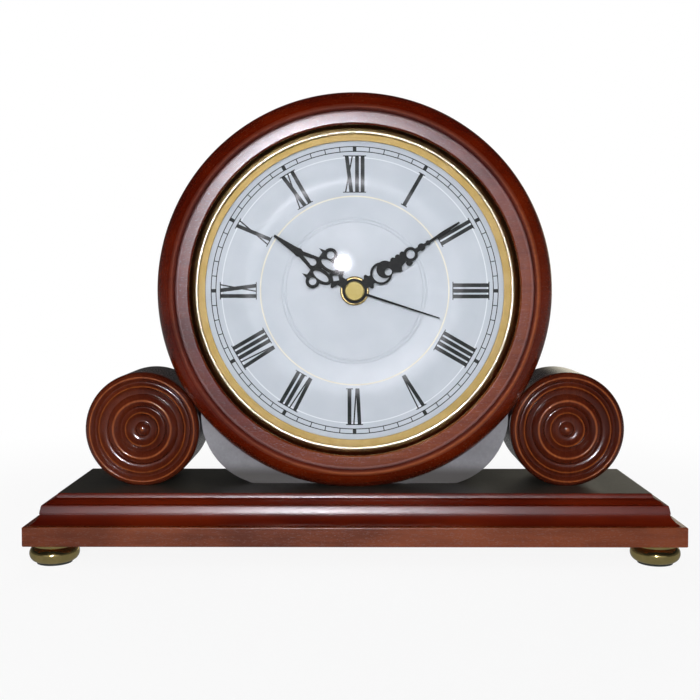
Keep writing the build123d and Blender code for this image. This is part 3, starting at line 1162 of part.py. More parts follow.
def stator_post_spots():
    """Where posts of the rear tray press on the stator's legs."""
    x = ROTOR_AT[0]
    reach = (STATOR_WIDTH - STATOR_LEG_WIDTH) / 2
    z = ROTOR_AT[1] + STATOR_HEIGHT / 2 + STATOR_LEG_WIDTH / 2
    return [(x - reach, z), (x + reach, z)]


def rear_tray():
    """The rear half of the case, open over the battery, with pivot holes and stator posts."""
    tray = movement_tray(MOVEMENT_SPLIT_Y, MOVEMENT_BACK_Y, MOVEMENT_BACK_Y)
    tray -= inner_block(-INNER_HALF, INNER_HALF, INNER_BACK_Y, MOVEMENT_BACK_Y, -INNER_HALF, BAY_TOP)
    for at in stator_post_spots():
        tray += rod(STATOR_LEG_WIDTH / 2, STATOR_FRONT_Y + STATOR_THICKNESS, INNER_BACK_Y, at)
    for at in (HAND_AXIS, THIRD_AT, INTERMEDIATE_AT, ROTOR_AT):
        radius = SECOND_ARBOR_RADIUS if at == HAND_AXIS else PIVOT_RADIUS
        tray -= rod(radius + RUNNING_CLEARANCE, INNER_BACK_Y, MOVEMENT_BACK_Y - MOVEMENT_WALL / 3, at)
    tray -= rod(ARBOR_RADIUS + RUNNING_CLEARANCE, INNER_BACK_Y, MOVEMENT_BACK_Y, MOTION_AT)
    return tray


def middle_plate():
    """The plate that carries the front pivots of the rotor and intermediate wheel."""
    edge = INNER_HALF - MIDDLE_PLATE_EDGE_GAP
    plate = inner_block(-edge, edge, PLATE_FRONT_Y, PLATE_BACK_Y,
                        BAY_TOP + BAY_WALL + MIDDLE_PLATE_EDGE_GAP, edge)
    pinion_room = THIRD_MODULE * (THIRD_PINION_TEETH / 2 + 1) + MIDDLE_PLATE_EDGE_GAP
    holes = [(HAND_AXIS, SECOND_ARBOR_RADIUS + RUNNING_CLEARANCE),
             (MOTION_AT, ARBOR_RADIUS + MIDDLE_PLATE_EDGE_GAP), (THIRD_AT, pinion_room),
             (INTERMEDIATE_AT, PIVOT_RADIUS + RUNNING_CLEARANCE),
             (ROTOR_AT, PIVOT_RADIUS + RUNNING_CLEARANCE)]
    for at, radius in holes:
        plate -= rod(radius, PLATE_FRONT_Y, PLATE_BACK_Y, at)
    return plate


def motor():
    """Stator, coil core, bobbin and winding of the stepping motor."""
    x, z = ROTOR_AT
    left = x - STATOR_WIDTH / 2
    right = x + STATOR_WIDTH / 2
    top = z + STATOR_HEIGHT / 2
    leg_top = INNER_HALF - STATOR_TOP_GAP
    back = STATOR_FRONT_Y + STATOR_THICKNESS
    stator = inner_block(left, right, STATOR_FRONT_Y, back, z - STATOR_HEIGHT / 2, top)
    for x0 in (left, right - STATOR_LEG_WIDTH):
        stator += inner_block(x0, x0 + STATOR_LEG_WIDTH, STATOR_FRONT_Y, back, top, leg_top)
    stator -= rod(ROTOR_MAGNET_RADIUS + ROTOR_AIR_GAP, STATOR_FRONT_Y, back, ROTOR_AT)
    core_y = STATOR_FRONT_Y - CORE_THICKNESS / 2
    core_z = leg_top - CORE_WIDTH / 2
    core = inner_block(left, right, STATOR_FRONT_Y - CORE_THICKNESS, STATOR_FRONT_Y,
                       leg_top - CORE_WIDTH, leg_top)

    def spool(radius, start, end):
        middle = Pos((start + end) / 2, core_y, DRUM_Z + core_z)
        return middle * Rot(0, 90, 0) * Cylinder(radius, end - start)

    start = left + STATOR_LEG_WIDTH + BOBBIN_END_GAP
    end = right - STATOR_LEG_WIDTH - BOBBIN_END_GAP
    bobbin = spool(BOBBIN_BARREL_RADIUS, start, end)
    bobbin += spool(BOBBIN_RADIUS, start, start + BOBBIN_FLANGE)
    bobbin += spool(BOBBIN_RADIUS, end - BOBBIN_FLANGE, end)
    slot = inner_block(left, right, STATOR_FRONT_Y - CORE_THICKNESS - PRESS_GAP,
                       STATOR_FRONT_Y + PRESS_GAP, leg_top - CORE_WIDTH - PRESS_GAP,
                       leg_top + PRESS_GAP)
    winding = spool(WINDING_RADIUS, start + BOBBIN_FLANGE, end - BOBBIN_FLANGE)
    winding -= spool(BOBBIN_BARREL_RADIUS + PRESS_GAP, start, end)
    return {"stator": stator, "coil_core": core, "coil_bobbin": bobbin - slot,
            "coil_winding": winding}


def electronics():
    """Circuit board with its chip, crystal, battery and the two battery contacts."""
    left = -INNER_HALF + MIDDLE_PLATE_EDGE_GAP
    wheel_tip = THIRD_MODULE * (THIRD_WHEEL_TEETH / 2 + TOOTH_ADDENDUM)
    right = THIRD_AT[0] - wheel_tip - BOARD_WHEEL_GAP
    middle = (left + right) / 2
    board_y = PLATE_BACK_Y + BOARD_THICKNESS
    board = inner_block(left, right, PLATE_BACK_Y, board_y, BOARD_BOTTOM, BOARD_BOTTOM + BOARD_HEIGHT)
    chip_z = BOARD_BOTTOM + BOARD_HEIGHT / 3
    board += rod(CHIP_RADIUS, board_y, board_y + CHIP_THICKNESS, (middle, chip_z))
    crystal_z = BOARD_BOTTOM + CRYSTAL_RISE
    crystal = post(CRYSTAL_RADIUS, DRUM_Z + crystal_z, DRUM_Z + crystal_z + CRYSTAL_LENGTH,
                   middle, board_y + CRYSTAL_RADIUS)
    battery_y = INNER_FRONT_Y + BATTERY_GAP + BATTERY_RADIUS
    battery_z = (BAY_TOP - INNER_HALF) / 2
    start = -(BATTERY_LENGTH + BATTERY_NUB_LENGTH) / 2

    def cell(radius, x0, x1):
        place = Pos((x0 + x1) / 2, battery_y, DRUM_Z + battery_z)
        return place * Rot(0, 90, 0) * Cylinder(radius, x1 - x0)

    nub_start = start + BATTERY_LENGTH
    nub_end = nub_start + BATTERY_NUB_LENGTH
    battery = cell(BATTERY_RADIUS, start, nub_start) + cell(BATTERY_NUB_RADIUS, nub_start, nub_end)
    half = CONTACT_WIDTH / 2
    contacts = {}
    for name, x0, x1 in (("battery_contact_negative", -INNER_HALF, start),
                         ("battery_contact_positive", nub_end, INNER_HALF)):
        plate_x = x0 + CONTACT_THICKNESS if x0 < 0 else x1 - CONTACT_THICKNESS
        wall_x = x0 if x0 < 0 else x1
        contact = inner_block(wall_x, plate_x, battery_y - half, battery_y + half,
                              battery_z - half, battery_z + half)
        contacts[name] = contact + cell(BATTERY_NUB_RADIUS, min(x0, x1), max(x0, x1))
    return {"circuit_board": board, "quartz_crystal": crystal, "battery": battery, **contacts}


def set_knob():
    """The fluted knob at the back that turns the hands."""
    front = MOVEMENT_BACK_Y + SET_KNOB_GAP
    back = front + SET_KNOB_LENGTH
    knob = rod(SET_KNOB_RADIUS, front, back, MOTION_AT)
    for flute in range(SET_KNOB_FLUTES):
        spot = polar(SET_KNOB_RADIUS, flute * 360 / SET_KNOB_FLUTES, MOTION_AT)
        knob -= rod(SET_KNOB_FLUTE_RADIUS, front, back, spot)
    return knob - rod(ARBOR_RADIUS + PRESS_GAP, front, front + SET_KNOB_LENGTH / 2, MOTION_AT)


def movement():
    """The whole quartz movement, piece by piece."""
    phase = gear_phases()
    pieces = {"movement_front_tray": front_tray(), "movement_rear_tray": rear_tray(),
              "middle_plate": middle_plate(), "set_knob": set_knob()}
    pieces.update(motion_works(phase))
    pieces.update(going_train(phase))
    pieces.update(motor())
    pieces.update(electronics())
    return pieces


# ---------------------------------------------------------------- writing
def main():
    """Builds every piece and writes one STEP file for each node."""
    pieces = {}
    for group in (plinth_boards, feet, base_screws, case_pieces, face_pieces, hands,
                  door_pieces, movement):
        pieces.update(group())
    os.makedirs("parts", exist_ok=True)
    for name, shape in pieces.items():
        if isinstance(shape, list):
            shape = Compound(children=shape)
        export_step(shape, "parts/" + name + ".step")
    print(len(pieces), "nodes")


main()
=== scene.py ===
# %% [markdown]
# # A mantel clock in mahogany and brass
#
# The clock was built as solids first: plinth, drum, ring, face, hands and a small quartz movement, each
# a piece of its own with the joints that it moves on. This lesson dresses that frame. Pieces whose edges
# and curves catch the light are made again as finer meshes, the dial gets its print, and every surface
# gets a finish made of nodes.
#
# The frame comes in first, in metres. It is fixed, so each new piece goes exactly where the solid was.

# %% Load the frame
import math

import bmesh
import bpy
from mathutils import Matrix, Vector


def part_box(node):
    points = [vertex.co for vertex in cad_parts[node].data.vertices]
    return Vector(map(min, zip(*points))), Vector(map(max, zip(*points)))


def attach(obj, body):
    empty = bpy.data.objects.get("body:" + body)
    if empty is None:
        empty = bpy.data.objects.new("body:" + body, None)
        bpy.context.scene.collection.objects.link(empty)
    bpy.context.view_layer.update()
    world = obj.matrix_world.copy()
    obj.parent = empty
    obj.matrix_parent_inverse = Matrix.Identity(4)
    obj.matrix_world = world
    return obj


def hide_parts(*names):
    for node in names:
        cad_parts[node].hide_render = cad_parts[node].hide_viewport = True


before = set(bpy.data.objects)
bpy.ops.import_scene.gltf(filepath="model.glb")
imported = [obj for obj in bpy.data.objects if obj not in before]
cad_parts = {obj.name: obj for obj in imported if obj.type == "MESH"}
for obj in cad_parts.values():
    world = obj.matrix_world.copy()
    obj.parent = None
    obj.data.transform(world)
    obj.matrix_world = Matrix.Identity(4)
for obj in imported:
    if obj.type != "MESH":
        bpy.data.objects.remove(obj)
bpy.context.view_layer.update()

MM = 0.001
print("pieces in the frame:", len(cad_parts))

# %% [markdown]
# ## Lines that are turned
#
# Most of this clock came off a lathe: the ring, the two rosettes, the brass bezel, the gilt ring and even
# the dial, which is pressed over a turned form. A turner thinks of one line, the profile, and lets the
# lathe do the rest. Blender's spin does the same. A profile here is a list of points, each a radius and a
# depth in millimetres, and smaller depths are nearer to the person who looks at the dial.


# %% Curves between two points of a profile
def turned_by(arm, angle):
    """A flat vector, turned by an angle."""
    return Vector((arm.x * math.cos(angle) - arm.y * math.sin(angle),
                   arm.x * math.sin(angle) + arm.y * math.cos(angle)))


def curved(start, end, middle, steps=10):
    """The points of a round curve from a start, past a middle, to an end. The start is left out."""
    halfway = Vector(middle) - Vector(start)
    whole = Vector(end) - Vector(start)
    twice_area = 2 * (halfway.x * whole.y - halfway.y * whole.x)
    to_centre = Vector((whole.y * halfway.length_squared - halfway.y * whole.length_squared,
                        halfway.x * whole.length_squared - whole.x * halfway.length_squared)) / twice_area
    centre = Vector(start) + to_centre
    first = -to_centre
    sweep = first.angle_signed(Vector(end) - centre)
    return [tuple(centre + turned_by(first, -sweep * step / steps)) for step in range(1, steps + 1)]


def off_chord(start, end, aside, down):
    """The middle between two points, moved a little in radius and in depth."""
    return (start[0] + end[0]) / 2 + aside, (start[1] + end[1]) / 2 + down


def towards(start, end, corner, share):
    """The middle between two points, moved towards a corner by a share of the way."""
    return [(a + b) / 2 * (1 - share) + c * share for a, b, c in zip(start, end, corner)]


def domed(edge, peak_depth, steps):
    """A cap's curve from its edge to its peak on the axis."""
    rise = edge[1] - peak_depth
    sphere = (edge[0] ** 2 + rise ** 2) / (2 * abs(rise))
    points = []
    for step in range(1, steps + 1):
        radius = edge[0] * (1 - step / steps)
        fall = sphere - math.sqrt(sphere ** 2 - radius ** 2)
        points.append((radius, peak_depth + math.copysign(fall, rise)))
    return points


# %% [markdown]
# A sharp edge in the real world is never quite sharp. Sandpaper and polish leave a tiny round on it, and
# that round is what glints. So each finished mesh has its hard edges found by angle and eased with a
# small bevel, and what is still sharper than a few dozen degrees is marked so that the smooth shading
# stops there.

# %% Finish a mesh
SMOOTH_BELOW = math.radians(32)
TURNING_STEPS = 288
SAME_PLACE = 0.0005


def ease(mesh_edit, width, segments=2):
    """Rounds every edge of a mesh that is sharper than the smoothing angle."""
    hard = [edge for edge in mesh_edit.edges
            if len(edge.link_faces) == 2 and edge.calc_face_angle() > SMOOTH_BELOW]
    bmesh.ops.bevel(mesh_edit, geom=hard, offset=width * MM, offset_type="OFFSET",
                    segments=segments, profile=0.5, affect="EDGES", clamp_overlap=True, material=-1)


def finished(name, mesh_edit, body="case", flat=False):
    """Turns an edited mesh into a piece that rides on a body. A flat print needs no evened shading."""
    mesh = bpy.data.meshes.new(name)
    mesh_edit.to_mesh(mesh)
    mesh_edit.free()
    for face in mesh.polygons:
        face.use_smooth = True
    mesh.set_sharp_from_angle(angle=SMOOTH_BELOW)
    piece = bpy.data.objects.new(name, mesh)
    bpy.context.scene.collection.objects.link(piece)
    if not flat:
        evened = piece.modifiers.new("evened_shading", "WEIGHTED_NORMAL")
        evened.keep_sharp = True
    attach(piece, body)
    print(name, "has", len(mesh.polygons), "faces")
    return piece


def turned(profile, x=0.0, z=0.0, steps=TURNING_STEPS, closed=True):
    """Spins a profile about a line that runs from front to back at x and z, in millimetres."""
    mesh_edit = bmesh.new()
    points = [mesh_edit.verts.new(((x + radius) * MM, depth * MM, z * MM))
              for radius, depth in profile]
    pairs = list(zip(points, points[1:]))
    if closed:
        pairs.append((points[-1], points[0]))
    lines = [mesh_edit.edges.new(pair) for pair in pairs]
    bmesh.ops.spin(mesh_edit, geom=points + lines, cent=(x * MM, 0, z * MM), axis=(0, 1, 0),
                   angle=math.tau, steps=steps, use_merge=True)
    bmesh.ops.remove_doubles(mesh_edit, verts=mesh_edit.verts, dist=SAME_PLACE * MM)
    bmesh.ops.recalc_face_normals(mesh_edit, faces=mesh_edit.faces)
    return mesh_edit


# %% Places on the clock, read from the frame
face_low, face_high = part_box("dial")
FACE_Z = (face_low.z + face_high.z) / 2 / MM
PLINTH_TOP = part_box("plinth_upper_board")[1].z / MM
print("middle of the face:", round(FACE_Z, 3), "top of the plinth:", round(PLINTH_TOP, 3))

# %% [markdown]
# ## The ring
#
# The ring is the boldest piece of wood: a fat bead on the outside, a narrow step, and a flat band that
# frames the bezel. It stands on the plinth on a flat of a few tenths of a millimetre, so the spun mesh is
# cut off level there and the cut is filled.

# %% The ring's profile
RING_RADIUS = 93.7
RING_BACK = -8.4
RING_SIDE_END = -15.0
BEAD_CREST = (85.5, -23.4)
BEAD_STEP = (84.3, -20.6)
BEAD_FULLNESS = 1.0
LIP_FULLNESS = 0.4
BAND_OUTER = 83.7
BAND_DEPTH = -21.2
BORE_RADIUS = 77.9
BORE_CHAMFER = 0.7
CUT_REACH = 0.0002


def cut_level(mesh_edit, height):
    """Cuts off all that is below a height and closes the cut."""
    everything = mesh_edit.verts[:] + mesh_edit.edges[:] + mesh_edit.faces[:]
    cut = bmesh.ops.bisect_plane(mesh_edit, geom=everything, dist=CUT_REACH * MM,
                                 plane_co=(0, 0, height * MM), plane_no=(0, 0, 1), clear_inner=True)
    rim = [part for part in cut["geom_cut"] if isinstance(part, bmesh.types.BMEdge)]
    bmesh.ops.holes_fill(mesh_edit, edges=rim, sides=0)


def ring_profile():
    """The ring's outline, from the back of its outside round to the back of its bore."""
    bead_side = (RING_RADIUS, RING_SIDE_END)
    bead_middle = off_chord(bead_side, BEAD_CREST, BEAD_FULLNESS, -BEAD_FULLNESS)
    lip_middle = towards(BEAD_CREST, BEAD_STEP, (BEAD_STEP[0], BEAD_CREST[1]), LIP_FULLNESS)
    line = [(RING_RADIUS, RING_BACK), bead_side]
    line += curved(bead_side, BEAD_CREST, bead_middle, 20)
    line += curved(BEAD_CREST, BEAD_STEP, lip_middle, 6)
    line += [(BAND_OUTER, BEAD_STEP[1]), (BAND_OUTER, BAND_DEPTH),
             (BORE_RADIUS + BORE_CHAMFER, BAND_DEPTH), (BORE_RADIUS, BAND_DEPTH + BORE_CHAMFER),
             (BORE_RADIUS, RING_BACK)]
    return line


ring_mesh = turned(ring_profile(), z=FACE_Z)
ease(ring_mesh, 0.12)
cut_level(ring_mesh, PLINTH_TOP)
ring = finished("ring", ring_mesh)
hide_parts("front_ring")

# %% [markdown]
# ## The rosettes
#
# Each scroll ends in a rosette of ridges and coves round a button. On the real one the stain has rubbed
# thin on the ridges, which is why their radii have names: the finish uses them again further down. The
# rest of the profile is a list of members from outside in.

# %% The rosettes
ROSETTE_RIM = -15.0
ROSETTE_BACK = -8.5
ROSETTE_RADIUS = 27.35
ROSETTE_CREST = 24.9
ROSETTE_OUTER_RIDGE = 20.6
ROSETTE_BEAD = 13.8
ROSETTE_INNER_RIDGE = 8.0
ROSETTE_MEMBERS = [  # the radius where a member starts, how far behind the rim, its hollow, its steps
    (ROSETTE_RADIUS, 2.4, -0.55, 10),
    (ROSETTE_CREST, 0.0, -0.25, 6),
    (22.7, 1.9, 0.35, 6),
    (ROSETTE_OUTER_RIDGE, 0.5, 0.6, 10),
    (17.0, 2.5, -0.45, 10),
    (ROSETTE_BEAD, 0.1, -0.45, 10),
    (10.6, 2.6, 0.35, 8),
    (ROSETTE_INNER_RIDGE, 0.7, 0.8, 10)]
BUTTON_RADIUS = 3.6
BUTTON_FOOT = 2.9
BUTTON_TOP = 0.9


def rosette_profile():
    """The rosette's outline: its back, its members from outside in, and its button."""
    places = [(radius, ROSETTE_RIM + back) for radius, back, hollow, steps in ROSETTE_MEMBERS]
    places.append((BUTTON_RADIUS, ROSETTE_RIM + BUTTON_FOOT))
    line = [(0.0, ROSETTE_BACK), (ROSETTE_RADIUS, ROSETTE_BACK), places[0]]
    for start, end, (radius, back, hollow, steps) in zip(places, places[1:], ROSETTE_MEMBERS):
        line += curved(start, end, off_chord(start, end, 0, hollow), steps)
    line += domed(places[-1], ROSETTE_RIM + BUTTON_TOP, 10)
    return line


rosette_centres = {}
for side_name in ("left", "right"):
    low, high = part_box("scroll_rosette_" + side_name)
    centre_x = (low.x + high.x) / 2 / MM
    centre_z = high.z / MM - ROSETTE_RADIUS
    rosette_mesh = turned(rosette_profile(), x=centre_x, z=centre_z, steps=160, closed=False)
    ease(rosette_mesh, 0.15)
    cut_level(rosette_mesh, PLINTH_TOP)
    rosette = finished("rosette_" + side_name, rosette_mesh)
    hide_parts("scroll_rosette_" + side_name)
    rosette_centres[side_name] = (centre_x, centre_z, rosette)
    print("rosette", side_name, "at", round(centre_x, 2), round(centre_z, 2))

# %% [markdown]
# ## The moulded board of the plinth
#
# The upper board has one moulding run round all four sides: a splayed fillet, a quarter round, a ledge, a
# face that is very slightly round, a fine quirk under it, and a cove. A joiner runs it along each side and
# the corners meet in mitres. Here the same moulding is a stack of rectangles, each a little lower than the
# last, bridged to its neighbour. The mitres come free.

# %% The moulded board
PLINTH_HALF_WIDTH = 150.0
PLINTH_HALF_DEPTH = 45.0
FILLET_CROWN = 0.12
OVOLO_FULLNESS = 0.25
FASCIA_CROWN = 0.08
COVE_FULLNESS = 0.20


def moulding_profile():
    """The moulding from the top down: how far in each point is from the plinth's edge, and how low."""
    top_edge = (12.95, 0.0)
    ovolo_start = (12.3, 2.2)
    ovolo_end = (8.6, 4.3)
    fascia_top = (6.82, 4.5)
    fascia_foot = (6.0, 8.4)
    cove_start = (6.4, 8.45)
    cove_end = (2.2, 12.9)
    ovolo_middle = towards(ovolo_start, ovolo_end, (ovolo_end[0], ovolo_start[1]), OVOLO_FULLNESS)
    cove_middle = towards(cove_start, cove_end, (cove_start[0], cove_end[1]), COVE_FULLNESS)
    line = [top_edge]
    line += curved(top_edge, ovolo_start, off_chord(top_edge, ovolo_start, -FILLET_CROWN, 0), 6)
    line += curved(ovolo_start, ovolo_end, ovolo_middle, 8)
    line += [fascia_top]
    line += curved(fascia_top, fascia_foot, off_chord(fascia_top, fascia_foot, -FASCIA_CROWN, 0), 6)
    line += [cove_start]
    line += curved(cove_start, cove_end, cove_middle, 12)
    return line


def rectangle(mesh_edit, inset, height):
    """A level rectangle of four edges, set in from the plinth's edge."""
    wide = (PLINTH_HALF_WIDTH - inset) * MM
    deep = (PLINTH_HALF_DEPTH - inset) * MM
    corners = [mesh_edit.verts.new((x, y, height * MM)) for x, y in
               ((-wide, -deep), (wide, -deep), (wide, deep), (-wide, deep))]
    return [mesh_edit.edges.new((corners[i], corners[(i + 1) % 4])) for i in range(4)]


board_mesh = bmesh.new()
loops = [rectangle(board_mesh, inset, PLINTH_TOP - drop) for inset, drop in moulding_profile()]
for upper, lower in zip(loops, loops[1:]):
    bmesh.ops.bridge_loops(board_mesh, edges=upper + lower)
bmesh.ops.contextual_create(board_mesh, geom=loops[0])
bmesh.ops.contextual_create(board_mesh, geom=loops[-1])
bmesh.ops.recalc_face_normals(board_mesh, faces=board_mesh.faces)
ease(board_mesh, 0.18)
board = finished("moulded_board", board_mesh)
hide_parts("plinth_upper_board")

# %% [markdown]
# ## Bezel, glass and gilt ring
#
# The bezel is spun from thin brass with a cove that meets the wood and a bead that holds the glass. The
# glass is a shallow dome, and behind it lies a flat gilt ring whose skirt reaches down to the dial. All
# three are turnings.

# %% The bezel
BEZEL_RADIUS = 77.8
BEZEL_BACK = -11.4
BEZEL_BORE = 76.8
BEZEL_LIP = 73.7
BEZEL_FRONT = -20.6
BEAD_FRONT = -21.2
COVE_RIM = -19.0
COVE_FOOT = 74.8
COVE_SAG = (-0.2, 0.12)
GLASS_FRONT = -18.9
GLASS_BACK = -17.3
LIP_THICKNESS = 0.3
SEAT = (74.7, GLASS_FRONT - 0.05)


def bezel_profile():
    """The bezel's outline: sleeve, cove, bead and the lip that holds the glass."""
    cove_start = (BEZEL_RADIUS, COVE_RIM)
    cove_end = (COVE_FOOT, BEZEL_FRONT)
    line = [(BEZEL_RADIUS, BEZEL_BACK), cove_start]
    line += curved(cove_start, cove_end, off_chord(cove_start, cove_end, *COVE_SAG))
    line += curved(cove_end, (BEZEL_LIP, BEZEL_FRONT), ((COVE_FOOT + BEZEL_LIP) / 2, BEAD_FRONT))
    line += [(BEZEL_LIP, GLASS_FRONT - LIP_THICKNESS), SEAT, (BEZEL_BORE, GLASS_FRONT),
             (BEZEL_BORE, BEZEL_BACK)]
    return line


bezel_mesh = turned(bezel_profile(), z=FACE_Z)
ease(bezel_mesh, 0.05, 1)
bezel = finished("bezel_spinning", bezel_mesh)
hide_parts("bezel")


# %% The domed glass
DOME_EDGE = 74.6
DOME_PEAK = -26.9
DOME_HOLLOW = -25.3
DOME_STEPS = 40
SEAT_RADIUS = 76.7


def glass_profile():
    """The glass from the peak of its inside, round its rim, to the peak of its outside."""
    outer_edge = (DOME_EDGE, GLASS_FRONT)
    inner_edge = (DOME_EDGE, GLASS_BACK)
    outside = [outer_edge] + domed(outer_edge, DOME_PEAK, DOME_STEPS)
    inside = [inner_edge] + domed(inner_edge, DOME_HOLLOW, DOME_STEPS)
    return list(reversed(inside)) + [(SEAT_RADIUS, GLASS_BACK), (SEAT_RADIUS, GLASS_FRONT)] + outside


glass = finished("glass_dome", turned(glass_profile(), z=FACE_Z, closed=False))
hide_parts("dome_glass")


# %% The gilt ring
GILT_INNER = 70.4
GILT_SKIRT = 71.1
GILT_OUTER = 76.0
GILT_FACE = -16.0
GILT_UNDERSIDE = -15.4
DIAL_FLAT = -12.0


def gilt_profile():
    """The gilt ring's outline: a flat face, a skirt down to the dial and a rim under the glass."""
    return [(GILT_INNER, GILT_FACE), (GILT_INNER, DIAL_FLAT), (GILT_SKIRT, DIAL_FLAT),
            (GILT_SKIRT, GILT_UNDERSIDE), (GILT_OUTER, GILT_UNDERSIDE), (GILT_OUTER, DIAL_FLAT),
            (SEAT_RADIUS, DIAL_FLAT), (SEAT_RADIUS, GLASS_BACK), (GILT_OUTER, GLASS_BACK),
            (GILT_OUTER, GILT_FACE)]


gilt_mesh = turned(gilt_profile(), z=FACE_Z)
ease(gilt_mesh, 0.08)
gilt = finished("gilt_ring", gilt_mesh)
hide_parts("gold_ring")

# %% [markdown]
# ## The dial
#
# The dial is thin metal, pressed so that the chapter ring rises to a crest and falls again to a flat
# centre. Two fine ribs run round that centre. The print follows the pressing, so the height of the metal
# is one function of the radius that both the dial and its print use.

# %% The dial's relief
MARGIN_RADIUS = 62.2
CREST_RADIUS = 50.5
CREAM_RADIUS = 44.2
CENTRE_RADIUS = 33.2
CREST_RISE = 0.8
POST_HOLE = 3.97
RIB_RADII = (33.9, 32.4)
RIB_HALF_WIDTH = 0.5
RIB_HEIGHT = 0.20
RIB_STEPS = 8
RELIEF_STEPS = 24


def dial_depth(radius):
    """The depth of the dial's face at a radius: flat, up to the crest in one soft sweep, and down again."""
    share = 0.0
    if CREST_RADIUS <= radius < MARGIN_RADIUS:
        share = (MARGIN_RADIUS - radius) / (MARGIN_RADIUS - CREST_RADIUS)
    elif CENTRE_RADIUS < radius < CREST_RADIUS:
        share = (radius - CENTRE_RADIUS) / (CREST_RADIUS - CENTRE_RADIUS)
    return DIAL_FLAT - CREST_RISE * share * share * (3 - 2 * share)


def between(start, end, steps):
    """Evenly spaced numbers from a start to an end, both included."""
    return [start + (end - start) * step / steps for step in range(steps + 1)]


def rib(radius):
    """A low round rib about a radius, from outside in."""
    foot = min(dial_depth(radius), DIAL_FLAT)
    return [(radius - share * RIB_HALF_WIDTH, foot - RIB_HEIGHT * (1 - share ** 2))
            for share in between(-1, 1, RIB_STEPS)]


def dial_profile():
    """The dial's outline: back, edge, margin, pressed chapter ring, ribs and centre."""
    first_rib = RIB_RADII[0] + RIB_HALF_WIDTH
    swept = between(MARGIN_RADIUS, CREST_RADIUS, RELIEF_STEPS)
    swept += between(CREST_RADIUS, first_rib, RELIEF_STEPS)[1:-1]
    line = [(POST_HOLE, BEZEL_BACK), (SEAT_RADIUS, BEZEL_BACK), (SEAT_RADIUS, DIAL_FLAT)]
    line += [(radius, dial_depth(radius)) for radius in swept]
    for radius in RIB_RADII:
        line += rib(radius)
    line += [(POST_HOLE, DIAL_FLAT)]
    return line


dial = finished("pressed_dial", turned(dial_profile(), z=FACE_Z))
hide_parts("dial")

# %% [markdown]
# ## The print on the dial
#
# Print is very thin, but a picture of it is not wanted here, so each mark is a real plate of ink a few
# hundredths of a millimetre thick. Every Roman numeral stands with its feet to the middle, and is built
# the way a sign writer builds it: thick strokes, thin strokes and one hairline serif across each end.

# %% Strokes of a numeral
INK_THICKNESS = 0.03
NUMERAL_FOOT = 45.9
NUMERAL_HEAD = 63.5
THICK = 1.8
THIN = 0.65
LETTER_GAP = 0.83
HAIRLINE = 0.45
OVERHANG = 0.75
V_WIDTH = 3.95
V_THICK = THICK * 0.95
V_THICK_FOOT = -0.15
V_THIN_FOOT = 0.55
X_WIDTH = 4.05
X_THIN_INSET = 0.1
LETTER_WIDTHS = {"I": THICK, "V": V_WIDTH, "X": X_WIDTH}


def stroke(drawing, foot, head, width, foot_height=NUMERAL_FOOT, head_height=NUMERAL_HEAD):
    """One straight stroke, given by the middles of its two ends and its width."""
    half = width / 2
    corners = [(foot - half, foot_height), (foot + half, foot_height),
               (head + half, head_height), (head - half, head_height)]
    return drawing.faces.new([drawing.verts.new((x * MM, 0, z * MM)) for x, z in corners])


def letter(drawing, name, left):
    """Draws I, V or X with its left edge at a place."""
    right = left + LETTER_WIDTHS[name]
    if name == "I":
        stroke(drawing, left + THICK / 2, left + THICK / 2, THICK)
    elif name == "V":
        middle = left + V_WIDTH / 2
        stroke(drawing, middle + V_THICK_FOOT, left + THICK / 2, V_THICK)
        stroke(drawing, middle + V_THIN_FOOT, right - THIN / 2, THIN)
    else:
        stroke(drawing, right - THICK / 2, left + THICK / 2, THICK)
        stroke(drawing, left + THIN / 2 + X_THIN_INSET, right - THIN / 2 - X_THIN_INSET, THIN)


def turn_round(points, angle):
    """Turns points round the middle of the dial."""
    for point in points:
        spot = turned_by(Vector((point.co.x, point.co.z)), angle)
        point.co.x = spot.x
        point.co.z = spot.y


def numeral(text, hour):
    """One numeral as flat faces, turned to its hour round the middle of the dial."""
    drawing = bmesh.new()
    total = sum(LETTER_WIDTHS[name] for name in text) + LETTER_GAP * (len(text) - 1)
    left = -total / 2
    for name in text:
        letter(drawing, name, left)
        left += LETTER_WIDTHS[name] + LETTER_GAP
    head_left = -total / 2 - OVERHANG
    head_right = total / 2 + OVERHANG
    foot_left = head_left
    foot_right = head_right
    # A V stands on its point, so the serif at the foot leaves it out.
    if text.startswith("V"):
        foot_left = -total / 2 + V_WIDTH + LETTER_GAP - OVERHANG
    if text.endswith("V"):
        foot_right = total / 2 - V_WIDTH - LETTER_GAP + OVERHANG
    hairlines = [(head_left, head_right, NUMERAL_HEAD - HAIRLINE, NUMERAL_HEAD)]
    if foot_right > foot_left:
        hairlines.append((foot_left, foot_right, NUMERAL_FOOT, NUMERAL_FOOT + HAIRLINE))
    for start, end, low, high in hairlines:
        stroke(drawing, (start + end) / 2, (start + end) / 2, end - start, low, high)
    turn_round(drawing.verts, -math.tau * hour / 12)
    return drawing


# %% [markdown]
# Flat strokes on a curved dial would sink into it, so each drawing is cut into small squares by level and
# upright planes, every point is laid on the metal, and the sheet is given its thickness of ink.

# %% Lay a drawing on the dial
SQUARES = 1.5
UNCUT = 200.0
REACH = 70.0
FINE_CUT_REACH = 0.0001
NUMERALS = ["I", "II", "III", "IIII", "V", "VI", "VII", "VIII", "IX", "X", "XI", "XII"]


